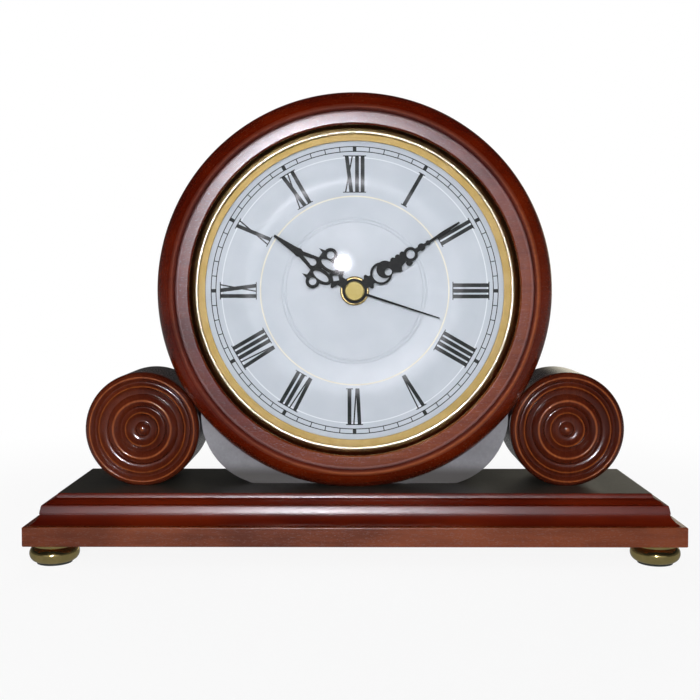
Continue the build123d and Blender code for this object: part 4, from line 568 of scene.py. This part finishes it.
def laid_on_dial(drawing, lift, spacing=SQUARES):
    """Cuts a flat drawing finely, drops it on the dial's relief and gives it a thickness."""
    cuts = int(2 * REACH / spacing)
    for axis in ((1, 0, 0), (0, 0, 1)):
        spots = [point.co.dot(Vector(axis)) / MM for point in drawing.verts]
        for step in range(cuts + 1):
            place = -REACH + step * spacing
            if min(spots) < place < max(spots):
                everything = drawing.verts[:] + drawing.edges[:] + drawing.faces[:]
                bmesh.ops.bisect_plane(drawing, geom=everything, dist=FINE_CUT_REACH * MM,
                                       plane_co=Vector(axis) * place * MM, plane_no=axis)
    for point in drawing.verts:
        radius = math.hypot(point.co.x, point.co.z) / MM
        point.co.y = (dial_depth(radius) - lift) * MM
        point.co.z += FACE_Z * MM
    bmesh.ops.recalc_face_normals(drawing, faces=drawing.faces)
    for face in drawing.faces:
        if face.normal.y > 0:
            face.normal_flip()
    bmesh.ops.solidify(drawing, geom=drawing.faces[:], thickness=-INK_THICKNESS * MM)
    bmesh.ops.recalc_face_normals(drawing, faces=drawing.faces)
    return drawing


numeral_pieces = []
for hour, text in enumerate(NUMERALS, 1):
    numeral_mesh = laid_on_dial(numeral(text, hour), INK_THICKNESS)
    numeral_pieces.append(finished("numeral_%02d" % hour, numeral_mesh, flat=True))

# %% The minute track
TRACK_OUTER = 67.7
TRACK_INNER = 65.4
TRACK_LINE = 0.42
TRACK_BLOCK = 1.7
TRACK_LIFT = INK_THICKNESS * 0.8


def printed_circle(radius, width):
    """A printed circle: a very thin turned ring that follows the metal under it."""
    edges = (radius - width / 2, radius + width / 2)
    front = [(edge, dial_depth(edge) - INK_THICKNESS) for edge in edges]
    back = [(edge, dial_depth(edge)) for edge in reversed(edges)]
    return turned(front + back, z=FACE_Z)


def track_bars():
    """The sixty bars of the minute track, with a solid block at each hour."""
    drawing = bmesh.new()
    for minute in range(60):
        width = TRACK_BLOCK if minute % 5 == 0 else TRACK_LINE
        bar = stroke(drawing, 0, 0, width, TRACK_INNER, TRACK_OUTER)
        turn_round(bar.verts, -math.tau * minute / 60)
    return laid_on_dial(drawing, TRACK_LIFT, UNCUT)


track_pieces = [finished("track_bars", track_bars(), flat=True)]
for circle_name, circle_radius in (("outer", TRACK_OUTER), ("inner", TRACK_INNER)):
    circle_mesh = printed_circle(circle_radius, TRACK_LINE)
    track_pieces.append(finished("track_circle_" + circle_name, circle_mesh, flat=True))

# %% [markdown]
# A pale cream line is printed round the inner slope of the pressing, inside the numerals' feet. A bright
# line where the margin meets the chapter ring is a painted highlight on the pressing's edge.

# %% The two pale lines
CREAM_WIDTH = 0.7
BRIGHT_WIDTH = 0.5
BRIGHT_RADIUS = MARGIN_RADIUS + 0.35
cream_line = finished("cream_line", printed_circle(CREAM_RADIUS, CREAM_WIDTH), flat=True)
# A painted highlight where the margin meets the chapter ring.
painted_highlight_line = finished("painted_highlight_line", printed_circle(BRIGHT_RADIUS, BRIGHT_WIDTH), flat=True)

# %% [markdown]
# ## Finishes
#
# A finish is a tree of nodes, and the sums in it read best as sums. A small wrapper round a socket lets
# Python's own signs add Math nodes, so `1 - mask` means what it says. Every other node comes from one
# method that takes the node's type, then its settings, then the values or links of its sockets.


# %% Sums made of nodes
class Signal:
    """One output in a finish's tree of nodes, which can be used in sums."""

    def __init__(self, finish, socket):
        self.finish = finish
        self.socket = socket

    def maths(self, operation, *values):
        """A Math node that does this operation on these values."""
        return self.finish.node("ShaderNodeMath", {"operation": operation}, dict(enumerate(values)))

    def __add__(self, other):
        return self.maths("ADD", self, other)

    def __radd__(self, other):
        return self.maths("ADD", other, self)

    def __sub__(self, other):
        return self.maths("SUBTRACT", self, other)

    def __rsub__(self, other):
        return self.maths("SUBTRACT", other, self)

    def __mul__(self, other):
        return self.maths("MULTIPLY", self, other)

    def __rmul__(self, other):
        return self.maths("MULTIPLY", other, self)

    def __truediv__(self, other):
        return self.maths("DIVIDE", self, other)

    def __pow__(self, other):
        return self.maths("POWER", self, other)

    def __abs__(self):
        return self.maths("ABSOLUTE", self)


class Finish:
    """A tree of nodes that are all made in one way: a new material's, or that of a room or a lamp."""

    def __init__(self, name, owner=None):
        self.owner = owner or bpy.data.materials.new(name)
        self.owner.use_nodes = True
        self.tree = self.owner.node_tree
        self.tree.nodes.clear()

    def node(self, kind, settings=None, values=None, output=0):
        """Adds a node: its settings first, then the values or links of its sockets."""
        made = self.tree.nodes.new(kind)
        for name, setting in (settings or {}).items():
            setattr(made, name, setting)
        for name, value in (values or {}).items():
            if isinstance(value, Signal):
                self.tree.links.new(value.socket, made.inputs[name])
            else:
                made.inputs[name].default_value = value
        return Signal(self, made.outputs[output])

    def place(self, centre=(0, 0, 0), size=(1, 1, 1)):
        """Where a point of the piece is, measured from a centre in units of a size, both in millimetres."""
        spot = self.node("ShaderNodeTexCoord", output="Object")
        return self.node("ShaderNodeMapping", {"vector_type": "TEXTURE"},
                         {"Vector": spot, "Location": [value * MM for value in centre],
                          "Scale": [value * MM for value in size]})

    def along(self, axis, vector=None):
        """One number of a vector, or else of the place of a point in millimetres."""
        return self.node("ShaderNodeSeparateXYZ", {}, {"Vector": vector or self.place()},
                         output="xyz".index(axis))

    def noise(self, size, detail=3.0, roughness=0.5):
        """A cloudy pattern whose lumps have a size in millimetres along each axis."""
        return self.node("ShaderNodeTexNoise", {}, {"Vector": self.place(size=size), "Scale": 1.0,
                                                    "Detail": detail, "Roughness": roughness})

    def tool_lines(self, radius, pitch, detail):
        """A pattern that changes along a radius alone, as the lines of a turning tool do."""
        across = self.node("ShaderNodeCombineXYZ", {}, {0: radius / pitch})
        return self.node("ShaderNodeTexNoise", {}, {"Vector": across, "Scale": 1.0, "Detail": detail})

    def from_axis(self, x, z):
        """The distance in millimetres from a line that runs from front to back."""
        spot = self.node("ShaderNodeVectorMath", {"operation": "MULTIPLY"},
                         {0: self.place((x, 0, z)), 1: (1, 0, 1)})
        return self.node("ShaderNodeVectorMath", {"operation": "LENGTH"}, {0: spot}, output="Value")

    def mix(self, mask, colour, other):
        """One colour where the mask is 0 and another where it is 1."""
        values = {0: mask, 6: colour_of(colour), 7: colour_of(other)}
        return self.node("ShaderNodeMix", {"data_type": "RGBA", "clamp_factor": True}, values, output=2)

    def band(self, value, start, end):
        """0 below a start, 1 above an end, and smooth between them."""
        return self.node("ShaderNodeMapRange", {"interpolation_type": "SMOOTHSTEP"},
                         {"Value": value, "From Min": start, "From Max": end})

    def bump(self, height, depth):
        """A normal that is tilted by a height between 0 and 1, over a depth in millimetres."""
        return self.node("ShaderNodeBump", {}, {"Height": height, "Distance": depth * MM})

    def principled(self, **values):
        """The main shader, with its sockets named in plain letters."""
        named = {name.replace("_", " "): value for name, value in values.items()}
        return self.node("ShaderNodeBsdfPrincipled", {}, named)

    def show(self, shader, output="ShaderNodeOutputMaterial"):
        """Sends a shader to the surface and gives back what the tree belongs to."""
        out = self.tree.nodes.new(output)
        self.tree.links.new(shader.socket, out.inputs["Surface"])
        print("finish made:", self.owner.name, "with", len(self.tree.nodes), "nodes")
        return self.owner


def colour_of(colour):
    """A colour with its fourth number, or a signal as it is."""
    if isinstance(colour, Signal) or len(colour) == 4:
        return colour
    return (*colour, 1.0)


# %% [markdown]
# ## Mahogany
#
# The wood is stained dark red, grained along its length, and lacquered to a satin gloss. Under the gloss
# there are three patterns: broad clouds of stain, long streaks of grain, and short open pores that the
# lacquer has not quite filled. The pores are what makes a broad reflection sparkle, so they go into the
# bump as well as into the colour.

# %% Mahogany
DEEP_RED = (0.048, 0.0024, 0.0001)
WARM_RED = (0.105, 0.0085, 0.0003)
# Rubbed pale stain, which on the ring's bead also stands for painted highlight and painted reflection.
RUBBED_AND_SHEEN = (0.30, 0.075, 0.016)
NEARLY_BLACK = (0.012, 0.0065, 0.0050)
# A flat grey painted in as sheen and shade: on the plinth's top and at the cradle's foot.
PAINTED_SHEEN_AND_SHADE_GREY = (0.030, 0.028, 0.022)
DARK_STAIN = (0.020, 0.0030, 0.0016)
CLOUDS = (60, 22)
STREAKS = (14, 1.3)
PORES = (1.5, 0.38)
OPEN_PORE = (0.52, 0.72)
WOOD_RELIEF = 0.018
# Where the rubbed line with its painted highlight runs round the ring's bead.
RUBBED_AND_SHEEN_LINE = (85.9, 1.2)
DULL_CREST = (85.1, 2.6)
# The direction in which the ring gets its painted highlight and painted reflection.
LOWER_RIGHT = (0.7, 0, -0.7)


def wood_layers(wood, along):
    """Clouds, streaks and pores of wood whose grain runs along x, y or z."""
    def size(long, short):
        return [long if axis == along else short for axis in "xyz"]

    clouds = wood.noise(size(*CLOUDS), 2.0)
    streaks = wood.noise(size(*STREAKS), 3.0, 0.55)
    pores = wood.band(wood.noise(size(*PORES), 2.0, 0.7), *OPEN_PORE)
    return clouds, streaks, pores


def mahogany(name, along, deep=DEEP_RED, warm=WARM_RED, gloss=0.20, worn_and_sheen=None, painted_sheen_and_shade=None, dull=None):
    """Satin mahogany, with masks for pale rubbed stain that on the ring also carries painted highlight, for
    painted grey sheen and shade, and for duller lacquer.
    """
    wood = Finish(name)
    clouds, streaks, pores = wood_layers(wood, along)
    tone = wood.band(clouds * 0.8 + streaks * 0.3, 0.35, 0.75)
    colour = wood.mix(tone, deep, warm)
    colour = wood.mix(pores * 0.55, colour, deep)
    # Rubbed pale stain; on the ring this mask also paints highlight and reflection into the colour.
    if worn_and_sheen:
        colour = wood.mix(worn_and_sheen(wood) * (0.2 + streaks * 0.9), colour, RUBBED_AND_SHEEN)
    rough = gloss + pores * 0.10 + clouds * 0.04
    if dull:
        rough = rough + dull(wood) * 0.5
    # Painted sheen and shade: a flat grey, and duller lacquer, where the mask is 1.
    if painted_sheen_and_shade:
        colour = wood.mix(painted_sheen_and_shade(wood), colour, PAINTED_SHEEN_AND_SHADE_GREY)
        rough = rough + painted_sheen_and_shade(wood) * 0.16
    height = wood.noise((1.3, 1.3, 1.3), 2.0) * 0.5 + streaks * 0.25 - pores * 0.5
    normal = wood.bump(height, WOOD_RELIEF)
    return wood.show(wood.principled(Base_Color=colour, Roughness=rough, IOR=1.5, Normal=normal))


def on_ridges(centre_x, centre_z, ridges):
    """A mask that is 1 on each of some circles, each given as a radius and a half width: for rubbed stain,
    for the ring's painted highlight, and for duller lacquer.
    """
    def mask(wood):
        radius = wood.from_axis(centre_x, centre_z)
        total = 0.0
        for ridge, half in ridges:
            total = total + (1 - wood.band(abs(radius - ridge), 0.0, half))
        return total
    return mask


def rubbed_and_sheen_on_bead(wood):
    """The ring's rubbed line along the bead's inner edge, made plainer at the right and lower right as a
    painted highlight, and a painted reflection of the plinth that lightens the lower right of bead and
    band.
    """
    line = on_ridges(0, FACE_Z, [RUBBED_AND_SHEEN_LINE])(wood)
    lower_right = wood.node("ShaderNodeVectorMath", {"operation": "DOT_PRODUCT"},
                            {0: wood.place((0, 0, FACE_Z)), 1: LOWER_RIGHT}, output="Value")
    # Painted reflection of the plinth: the lower right of the bead and band is lightened.
    side = wood.band(lower_right, -10.0, 65.0)
    flat = 1 - wood.band(wood.from_axis(0, FACE_Z), 83.4, 84.2)
    return line * (0.25 + wood.band(lower_right, 0.0, 70.0) * 0.75) + side * (0.08 + flat * 0.36)


def painted_sheen_on_top_face(wood):
    """A mask that is 1 on the level top of the plinth, where a flat grey is painted in as the top's sheen
    and shade.
    """
    return wood.band(wood.along("z"), PLINTH_TOP - 0.12, PLINTH_TOP - 0.04)


def painted_shade_near_plinth(wood):
    """A mask of painted shade, 1 at the plinth's top and fading out a little above it."""
    return 1 - wood.band(wood.along("z"), PLINTH_TOP + 4.0, PLINTH_TOP + 11.0)


# The ring's colour carries a painted highlight along the bead and a painted reflection at its lower right.
ring_wood = mahogany("mahogany_ring", "x", worn_and_sheen=rubbed_and_sheen_on_bead, dull=on_ridges(0, FACE_Z, [DULL_CREST]))
rosette_ridges = [(ROSETTE_CREST, 0.6), (ROSETTE_OUTER_RIDGE, 0.6), (ROSETTE_BEAD, 0.8),
                  (ROSETTE_INNER_RIDGE, 0.6), (0.0, 1.4)]
rosette_woods = {}
for side_name, (centre_x, centre_z, piece) in rosette_centres.items():
    rosette_woods[side_name] = mahogany("mahogany_rosette_" + side_name, "z", deep=(0.042, 0.0060, 0.0018),
                                        warm=(0.095, 0.017, 0.0055), gloss=0.15,
                                        worn_and_sheen=on_ridges(centre_x, centre_z, rosette_ridges))
# The plinth's top gets a painted grey sheen and shade.
board_wood = mahogany("mahogany_moulding", "x", gloss=0.27, painted_sheen_and_shade=painted_sheen_on_top_face)
slab_wood = mahogany("mahogany_slab", "x", deep=(0.080, 0.016, 0.004), warm=(0.190, 0.046, 0.015),
                     gloss=0.22)
# The cradle is darkened towards the plinth as painted shade.
cradle_wood = mahogany("cradle_grey", "y", deep=(0.13, 0.133, 0.138), warm=(0.20, 0.203, 0.21), gloss=0.3,
                       painted_sheen_and_shade=painted_shade_near_plinth)
side_wood = mahogany("mahogany_sides", "y", deep=NEARLY_BLACK, warm=(0.030, 0.010, 0.006))
drum_wood = mahogany("mahogany_drum", "y", deep=DARK_STAIN, warm=(0.060, 0.012, 0.005))
door_wood = mahogany("mahogany_door", "z", deep=DARK_STAIN, warm=(0.075, 0.014, 0.006), gloss=0.24)

# %% [markdown]
# ## Brass, gilt and steel
#
# Metal is mostly what it reflects. Spun and turned brass keeps fine tool lines round its axis, so its
# roughness and bump come from a noise read along the radius alone. Every metal also has a faint haze where
# it has been handled.


# %% Metals
HAZE_LUMPS = (9, 9, 9)
HAZE_EDGES = (0.35, 0.7)


def hazed(metal, haze, colour, other):
    """A colour that drifts to another one with the haze."""
    return metal.mix(metal.band(haze, *HAZE_EDGES), colour, other)


def turned_metal(name, colour, other, gloss, lines, depth):
    """A metal turned about the middle of the face, with fine tool lines round it."""
    metal = Finish(name)
    tool = metal.tool_lines(metal.from_axis(0, FACE_Z), lines, 3.0)
    haze = metal.noise(HAZE_LUMPS)
    rough = gloss + tool * 0.02 + metal.band(haze, 0.45, 0.75) * 0.02
    return metal.show(metal.principled(Base_Color=hazed(metal, haze, colour, other), Metallic=1.0,
                                       Roughness=rough, Normal=metal.bump(tool, depth)))


def bezel_metal():
    """Spun brass: a bead painted pale as a highlight, and a cove outside it painted dark as shade."""
    metal = Finish("brass_bezel")
    radius = metal.from_axis(0, FACE_Z)
    haze = metal.noise(HAZE_LUMPS)
    inside_cove = 1 - metal.band(radius, COVE_FOOT - 0.2, COVE_FOOT + 0.2)
    # Painted highlight: the bead gets a pale colour.
    bead = metal.band(radius, BEZEL_LIP + 0.02, BEZEL_LIP + 0.15) * inside_cove
    # Painted shade: the cove gets a dark olive colour.
    cove = hazed(metal, haze, (0.20, 0.145, 0.052), (0.27, 0.20, 0.080))
    rough = 0.12 + bead * 0.12 + haze * 0.05
    return metal.show(metal.principled(Base_Color=metal.mix(bead, cove, (0.72, 0.66, 0.52)), Metallic=1.0,
                                       Roughness=rough, Normal=metal.bump(haze, 0.001)))


def plain_metal(name, colour, other, gloss, size=2.0, depth=0.004):
    """A metal with a faint handled haze and no direction."""
    metal = Finish(name)
    haze = metal.noise((size, size, size), 4.0, 0.6)
    return metal.show(metal.principled(Base_Color=hazed(metal, haze, colour, other), Metallic=1.0,
                                       Roughness=gloss + haze * 0.12, Normal=metal.bump(haze, depth)))


gilt_satin = turned_metal("gilt_satin", (0.22, 0.155, 0.052), (0.27, 0.195, 0.078), 0.48, 0.35, 0.0004)
foot_brass = plain_metal("brass_feet", (0.62, 0.50, 0.20), (0.74, 0.58, 0.24), 0.07, size=6.0)
bezel_brass = bezel_metal()
small_brass = plain_metal("brass_small", (0.72, 0.52, 0.20), (0.80, 0.62, 0.30), 0.14)
boss_brass = turned_metal("brass_boss", (0.36, 0.29, 0.10), (0.44, 0.36, 0.14), 0.55, 0.3, 0.0006)
bright_steel = plain_metal("steel", (0.50, 0.50, 0.50), (0.60, 0.60, 0.61), 0.22)
copper_wire = plain_metal("copper_wire", (0.55, 0.20, 0.09), (0.66, 0.28, 0.13), 0.30, size=0.4, depth=0.05)

# %% [markdown]
# ## Dial, ink and glass
#
# The dial is painted a pale silver and lacquered. The ink lies under the same lacquer and keeps the same
# satin shine, which is why the numerals grey out where the lamp glares on the dial.


# %% Dial and print
def satin_face(name, colour, other, gloss, size=14.0):
    """A satin sheet: faintly clouded, finely brushed in circles, and duller on the dial's margin."""
    sheet = Finish(name)
    cloud = sheet.noise((size, size, size), 2.0)
    radius = sheet.from_axis(0, FACE_Z)
    brushing = sheet.tool_lines(radius, 0.3, 2.0)
    tint = sheet.mix(sheet.band(cloud, 0.3, 0.7), colour, other)
    dull = sheet.band(radius, MARGIN_RADIUS - 4.0, MARGIN_RADIUS) * 0.25
    return sheet.show(sheet.principled(Base_Color=tint, Roughness=gloss + brushing * 0.04 + dull, IOR=1.2,
                                       Normal=sheet.bump(brushing, 0.0004)))


dial_silver = satin_face("dial_silver", (0.54, 0.585, 0.62), (0.58, 0.62, 0.655), 0.21)
ink = satin_face("ink", (0.014, 0.017, 0.016), (0.020, 0.023, 0.022), 0.21, size=3.0)
cream_print = satin_face("cream_print", (0.80, 0.76, 0.62), (0.84, 0.81, 0.68), 0.30, size=5.0)
# A painted highlight: a brighter copy of the dial's silver.
painted_highlight_satin = satin_face("painted_highlight_satin", (0.76, 0.80, 0.82), (0.80, 0.83, 0.85), 0.30, size=5.0)


def hand_black():
    """Black paint, faintly clouded in tone and gloss."""
    paint = Finish("black_paint")
    cloud = paint.noise((1.5, 1.5, 1.5), 4.0, 0.6)
    tint = paint.mix(paint.band(cloud, 0.4, 0.7), (0.005, 0.006, 0.006), (0.014, 0.015, 0.014))
    return paint.show(paint.principled(Base_Color=tint, Roughness=0.45 + cloud * 0.15, IOR=1.2,
                                       Normal=paint.bump(cloud, 0.01)))


black_paint = hand_black()


# %% The glass
def clear_glass():
    """Clear glass to the eye, and nothing at all to light on its way to and from the dial."""
    pane = Finish("clear_glass")
    smear = pane.noise((30, 30, 30), 2.0)
    body = pane.principled(Base_Color=(1.0, 1.0, 1.0, 1.0), Roughness=0.0, IOR=1.45,
                           Transmission_Weight=1.0, Normal=pane.bump(smear, 0.002))
    through = pane.node("ShaderNodeBsdfTransparent", {}, {"Color": (0.97, 0.98, 0.98, 1.0)})
    light = pane.node("ShaderNodeLightPath", output="Is Shadow Ray")
    for kind in ("Is Diffuse Ray", "Is Glossy Ray"):
        light = light.maths("MAXIMUM", light, pane.node("ShaderNodeLightPath", output=kind))
    return pane.show(pane.node("ShaderNodeMixShader", {}, {0: light, 1: body, 2: through}))


glass_clear = clear_glass()

# %% [markdown]
# ## The hidden materials
#
# Behind the door there is a moulded movement, a battery and a fibreboard disc. They are seen only when
# the door is open, yet each has the grain, speckle or print of the real stuff.


# %% Felt, board and plastics
def speckled(name, colour, other, rough, size, depth):
    """A dull stuff with a fine speckle in its colour and its surface."""
    stuff = Finish(name)
    grain = stuff.noise((size, size, size), 4.0, 0.65)
    cloud = stuff.noise((size * 14, size * 14, size * 14), 2.0)
    mask = stuff.band(grain * 0.6 + cloud * 0.4, 0.35, 0.7)
    return stuff.show(stuff.principled(Base_Color=stuff.mix(mask, colour, other),
                                       Roughness=rough + grain * 0.1, Normal=stuff.bump(grain, depth)))


felt = speckled("felt", (0.012, 0.016, 0.013), (0.035, 0.042, 0.036), 0.88, 0.35, 0.12)
fibreboard = speckled("fibreboard", (0.20, 0.125, 0.070), (0.30, 0.20, 0.12), 0.75, 0.6, 0.06)
black_plastic = speckled("black_plastic", (0.012, 0.012, 0.013), (0.020, 0.020, 0.021), 0.38, 0.3, 0.012)
white_plastic = speckled("white_plastic", (0.66, 0.65, 0.60), (0.72, 0.71, 0.67), 0.34, 0.5, 0.006)
circuit_green = speckled("circuit_green", (0.012, 0.085, 0.035), (0.02, 0.12, 0.05), 0.30, 0.4, 0.01)


COPPER_END = (9.6, 9.9)
BARE_CAPS = (24.0, 24.2)


def battery_wrapper():
    """A battery's printed sleeve: dark with a copper-coloured end, and bare steel at both caps."""
    sleeve = Finish("battery_sleeve")
    along = sleeve.along("x")
    grain = sleeve.noise((3, 3, 3))
    top = sleeve.band(along, *COPPER_END)
    capped = sleeve.band(abs(along), *BARE_CAPS)
    tint = sleeve.mix(top, (0.016, 0.017, 0.02), (0.46, 0.20, 0.07))
    tint = sleeve.mix(capped, tint, (0.55, 0.55, 0.54))
    return sleeve.show(sleeve.principled(Base_Color=tint, Metallic=capped * 0.9 + top * 0.3,
                                         Roughness=0.24 + grain * 0.1))


battery_label = battery_wrapper()

# %% [markdown]
# ## Each piece gets its finish
#
# A new piece has one finish and names its slot. A solid keeps its slots, and only the stuff in them
# changes: some solids have a finish of their own, and the others take the one of their slot.

# %% Finishes on the new pieces
new_piece_finishes = [
    (ring, ring_wood, "mahogany"), (board, board_wood, "mahogany"),
    (bezel, bezel_brass, "polished_brass"), (glass, glass_clear, "glass"),
    (gilt, gilt_satin, "satin_gold"), (dial, dial_silver, "silvered_dial"),
    (cream_line, cream_print, "silvered_dial"), (painted_highlight_line, painted_highlight_satin, "silvered_dial")]
new_piece_finishes += [(piece, rosette_woods[side], "mahogany")
                       for side, (x, z, piece) in rosette_centres.items()]
new_piece_finishes += [(piece, ink, "black_paint") for piece in numeral_pieces + track_pieces]
for piece, finish, slot_name in new_piece_finishes:
    piece.data.materials.append(finish)

# %% Finishes on the solids
FOOT_NAMES = ("foot_front_left", "foot_front_right", "foot_rear_left", "foot_rear_right")
own_finishes = {
    "plinth_lower_board": slab_wood, "drum_body": drum_wood, "drum_cradle": cradle_wood,
    "scroll_body_left": side_wood, "scroll_body_right": side_wood, "rear_door": door_wood,
    "door_knob": small_brass, "second_hand_boss": boss_brass, "fixing_nut": small_brass,
    "fixing_washer": small_brass}
own_finishes.update({name: foot_brass for name in FOOT_NAMES})
slot_finishes = {
    "mahogany": side_wood, "polished_brass": small_brass, "satin_gold": gilt_satin,
    "steel": bright_steel, "glass": glass_clear, "silvered_dial": dial_silver,
    "fibreboard": fibreboard, "black_paint": black_paint, "felt": felt,
    "black_plastic": black_plastic, "white_plastic": white_plastic, "copper": copper_wire,
    "circuit_green": circuit_green, "battery_label": battery_label}
for name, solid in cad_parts.items():
    for place in solid.material_slots:
        slot_name = place.material.name.split(".")[0]
        place.material = own_finishes.get(name, slot_finishes[slot_name])
print("finishes given to", len(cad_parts), "solids and", len(new_piece_finishes), "new pieces")

# %% [markdown]
# ## The studio
#
# The camera sees a pale floor without end in a white room. A ray that lacquer or brass has thrown back
# meets a dimmer room instead, with one window far behind the clock, because polished things look solid
# only when they have something dark to mirror. So the white in the picture is the colour of the room, and
# not more light on the clock.

# %% Floor
FLOOR_HALF_WIDTH = 6.0
SHADOW_FADES = (180.0, 480.0)
MIRRORED_FLOOR = 0.22
floor_mesh = bmesh.new()
bmesh.ops.create_grid(floor_mesh, x_segments=1, y_segments=1, size=FLOOR_HALF_WIDTH)
floor_data = bpy.data.meshes.new("studio_floor")
floor_mesh.to_mesh(floor_data)
floor_mesh.free()
studio_floor = bpy.data.objects.new("studio_floor", floor_data)
bpy.context.scene.collection.objects.link(studio_floor)


def bounces(finish):
    """How often a ray has been thrown back before it comes here."""
    return (finish.node("ShaderNodeLightPath", output="Diffuse Depth")
            + finish.node("ShaderNodeLightPath", output="Glossy Depth"))


def seen_directly(finish):
    """1 for a ray from the camera, also through the glass, and 0 for a ray that was thrown back."""
    eye = finish.node("ShaderNodeLightPath", output="Is Camera Ray")
    through = finish.node("ShaderNodeLightPath", output="Is Transmission Ray")
    thrown_back = bounces(finish)
    return eye.maths("MAXIMUM", eye, through * (1 - eye.maths("MINIMUM", thrown_back, 1.0)))


def floor_finish():
    """A white sweep that keeps a soft shadow round the clock and is the room's white further out."""
    sweep = Finish("white_sweep")
    spot = sweep.node("ShaderNodeVectorMath", {"operation": "LENGTH"}, {0: sweep.place()},
                      output="Value")
    white = 0.90 + sweep.band(spot, *SHADOW_FADES) * 0.10
    matte = sweep.node("ShaderNodeBsdfDiffuse", {}, {"Color": (0.86, 0.86, 0.86, 1.0)})
    glow = sweep.node("ShaderNodeEmission")
    seen = sweep.node("ShaderNodeMixShader", {}, {0: seen_directly(sweep) * white, 1: matte, 2: glow})
    grey = sweep.node("ShaderNodeEmission", {}, {"Strength": MIRRORED_FLOOR})
    mirrored = sweep.node("ShaderNodeLightPath", output="Is Glossy Ray")
    return sweep.show(sweep.node("ShaderNodeMixShader", {}, {0: mirrored, 1: seen, 2: grey}))


sweep_white = floor_finish()
sweep_white.cycles.emission_sampling = "NONE"
floor_data.materials.append(sweep_white)

# %% Room
CEILING = (0.015, 0.015, 0.017)
FRONT_WALL = (0.40, 0.40, 0.41)
OTHER_WALLS = (0.08, 0.08, 0.08)
FAR_WINDOW = (1.7, 1.6, 1.3)


def room_finish(world):
    """White to the camera, and a dim room with a pale wall and a far window to rays thrown back."""
    room = Finish("studio_room", world)
    direction = room.node("ShaderNodeTexCoord", output="Generated")
    backwards = room.along("y", direction)
    window = room.band(backwards, 0.75, 0.9) * room.band(room.along("x", direction), 0.10, 0.26)
    behind = room.mix(window, OTHER_WALLS, FAR_WINDOW)
    walls = room.mix(room.band(backwards, -0.93, -0.70), FRONT_WALL, behind)
    in_mirrors = room.mix(room.band(room.along("z", direction), 0.08, 0.38), walls, CEILING)
    shown = room.mix(bounces(room), (1.0, 1.0, 1.0), in_mirrors)
    return room.show(room.node("ShaderNodeBackground", {}, {"Color": shown}), "ShaderNodeOutputWorld")


studio_room = room_finish(bpy.data.worlds.new("studio_room"))
studio_room.cycles.sampling_method = "NONE"
bpy.context.scene.world = studio_room

# %% [markdown]
# One strong lamp behind an umbrella stands high behind the camera, a little to the left. Its narrow core
# gives the highlights on ring, plinth, brass and glass. Three wide fills lift the shadows, and nothing
# mirrors them.


# %% Lamps
UMBRELLA_CORE = 12
UMBRELLA_HALO = 0.01
MIDDLE = (0.0, -0.02, 0.12)


def umbrella_glow(light):
    """Light that is strong in the middle of a lamp and fades to its rim."""
    umbrella = Finish(light.name, light)
    across = umbrella.node("ShaderNodeNewGeometry", output="Parametric")
    from_middle = umbrella.node("ShaderNodeVectorMath", {"operation": "DISTANCE"},
                                {0: across, 1: (0.5, 0.5, 0.0)}, output="Value")
    spread = 1 - umbrella.band(from_middle, 0.0, 0.5)
    strength = spread ** UMBRELLA_CORE + spread ** 2 * UMBRELLA_HALO
    glow = umbrella.node("ShaderNodeEmission", {}, {"Strength": strength})
    umbrella.show(glow, "ShaderNodeOutputLight")


def lamp(name, watts, width, height, place, glossy=False):
    """A rectangular lamp at a place in metres, turned towards the clock. Mirrors may leave it out."""
    light = bpy.data.lights.new(name, "AREA")
    light.shape = "RECTANGLE"
    light.size = width
    light.size_y = height
    light.energy = watts
    light.cycles.use_multiple_importance_sampling = glossy
    holder = bpy.data.objects.new(name, light)
    holder.location = place
    holder.rotation_euler = (Vector(MIDDLE) - Vector(place)).to_track_quat("-Z", "Y").to_euler()
    holder.visible_glossy = glossy
    bpy.context.scene.collection.objects.link(holder)
    print("lamp", name, "of", watts, "watts")
    return light


umbrella_lamp = lamp("umbrella", 690.0, 0.22, 0.22, (-0.076, -1.60, 0.285), glossy=True)
umbrella_lamp.color = (1.0, 0.97, 1.05)
umbrella_glow(umbrella_lamp)
lamp("front_fill", 7.0, 1.2, 0.8, (0.3, -1.5, 0.7))
lamp("top_fill", 4.0, 1.2, 1.2, (0.0, -0.3, 1.4))
lamp("rear_fill", 9.0, 1.2, 0.8, (-0.3, 1.4, 0.9))

# %% [markdown]
# The camera stands close, a little above the middle of the clock, and looks down by two degrees. A small
# shift of its lens sets the clock's place in the picture.

# %% Camera
CAMERA_PLACE = (0.0, -0.513, 0.1289)
CAMERA_PITCH = 2.0
CAMERA_YAW = 0.25
CAMERA_LENS = 53.9
CAMERA_SHIFT = -0.044
camera_data = bpy.data.cameras.new("camera")
camera_data.lens = CAMERA_LENS
camera_data.sensor_width = 36.0
camera_data.shift_y = CAMERA_SHIFT
camera = bpy.data.objects.new("camera", camera_data)
camera.location = CAMERA_PLACE
camera.rotation_euler = (math.radians(90 - CAMERA_PITCH), 0, math.radians(CAMERA_YAW))
bpy.context.scene.collection.objects.link(camera)
bpy.context.scene.camera = camera
bpy.context.scene.view_settings.view_transform = "Standard"
print("camera at", CAMERA_PLACE, "with a lens of", CAMERA_LENS, "mm")
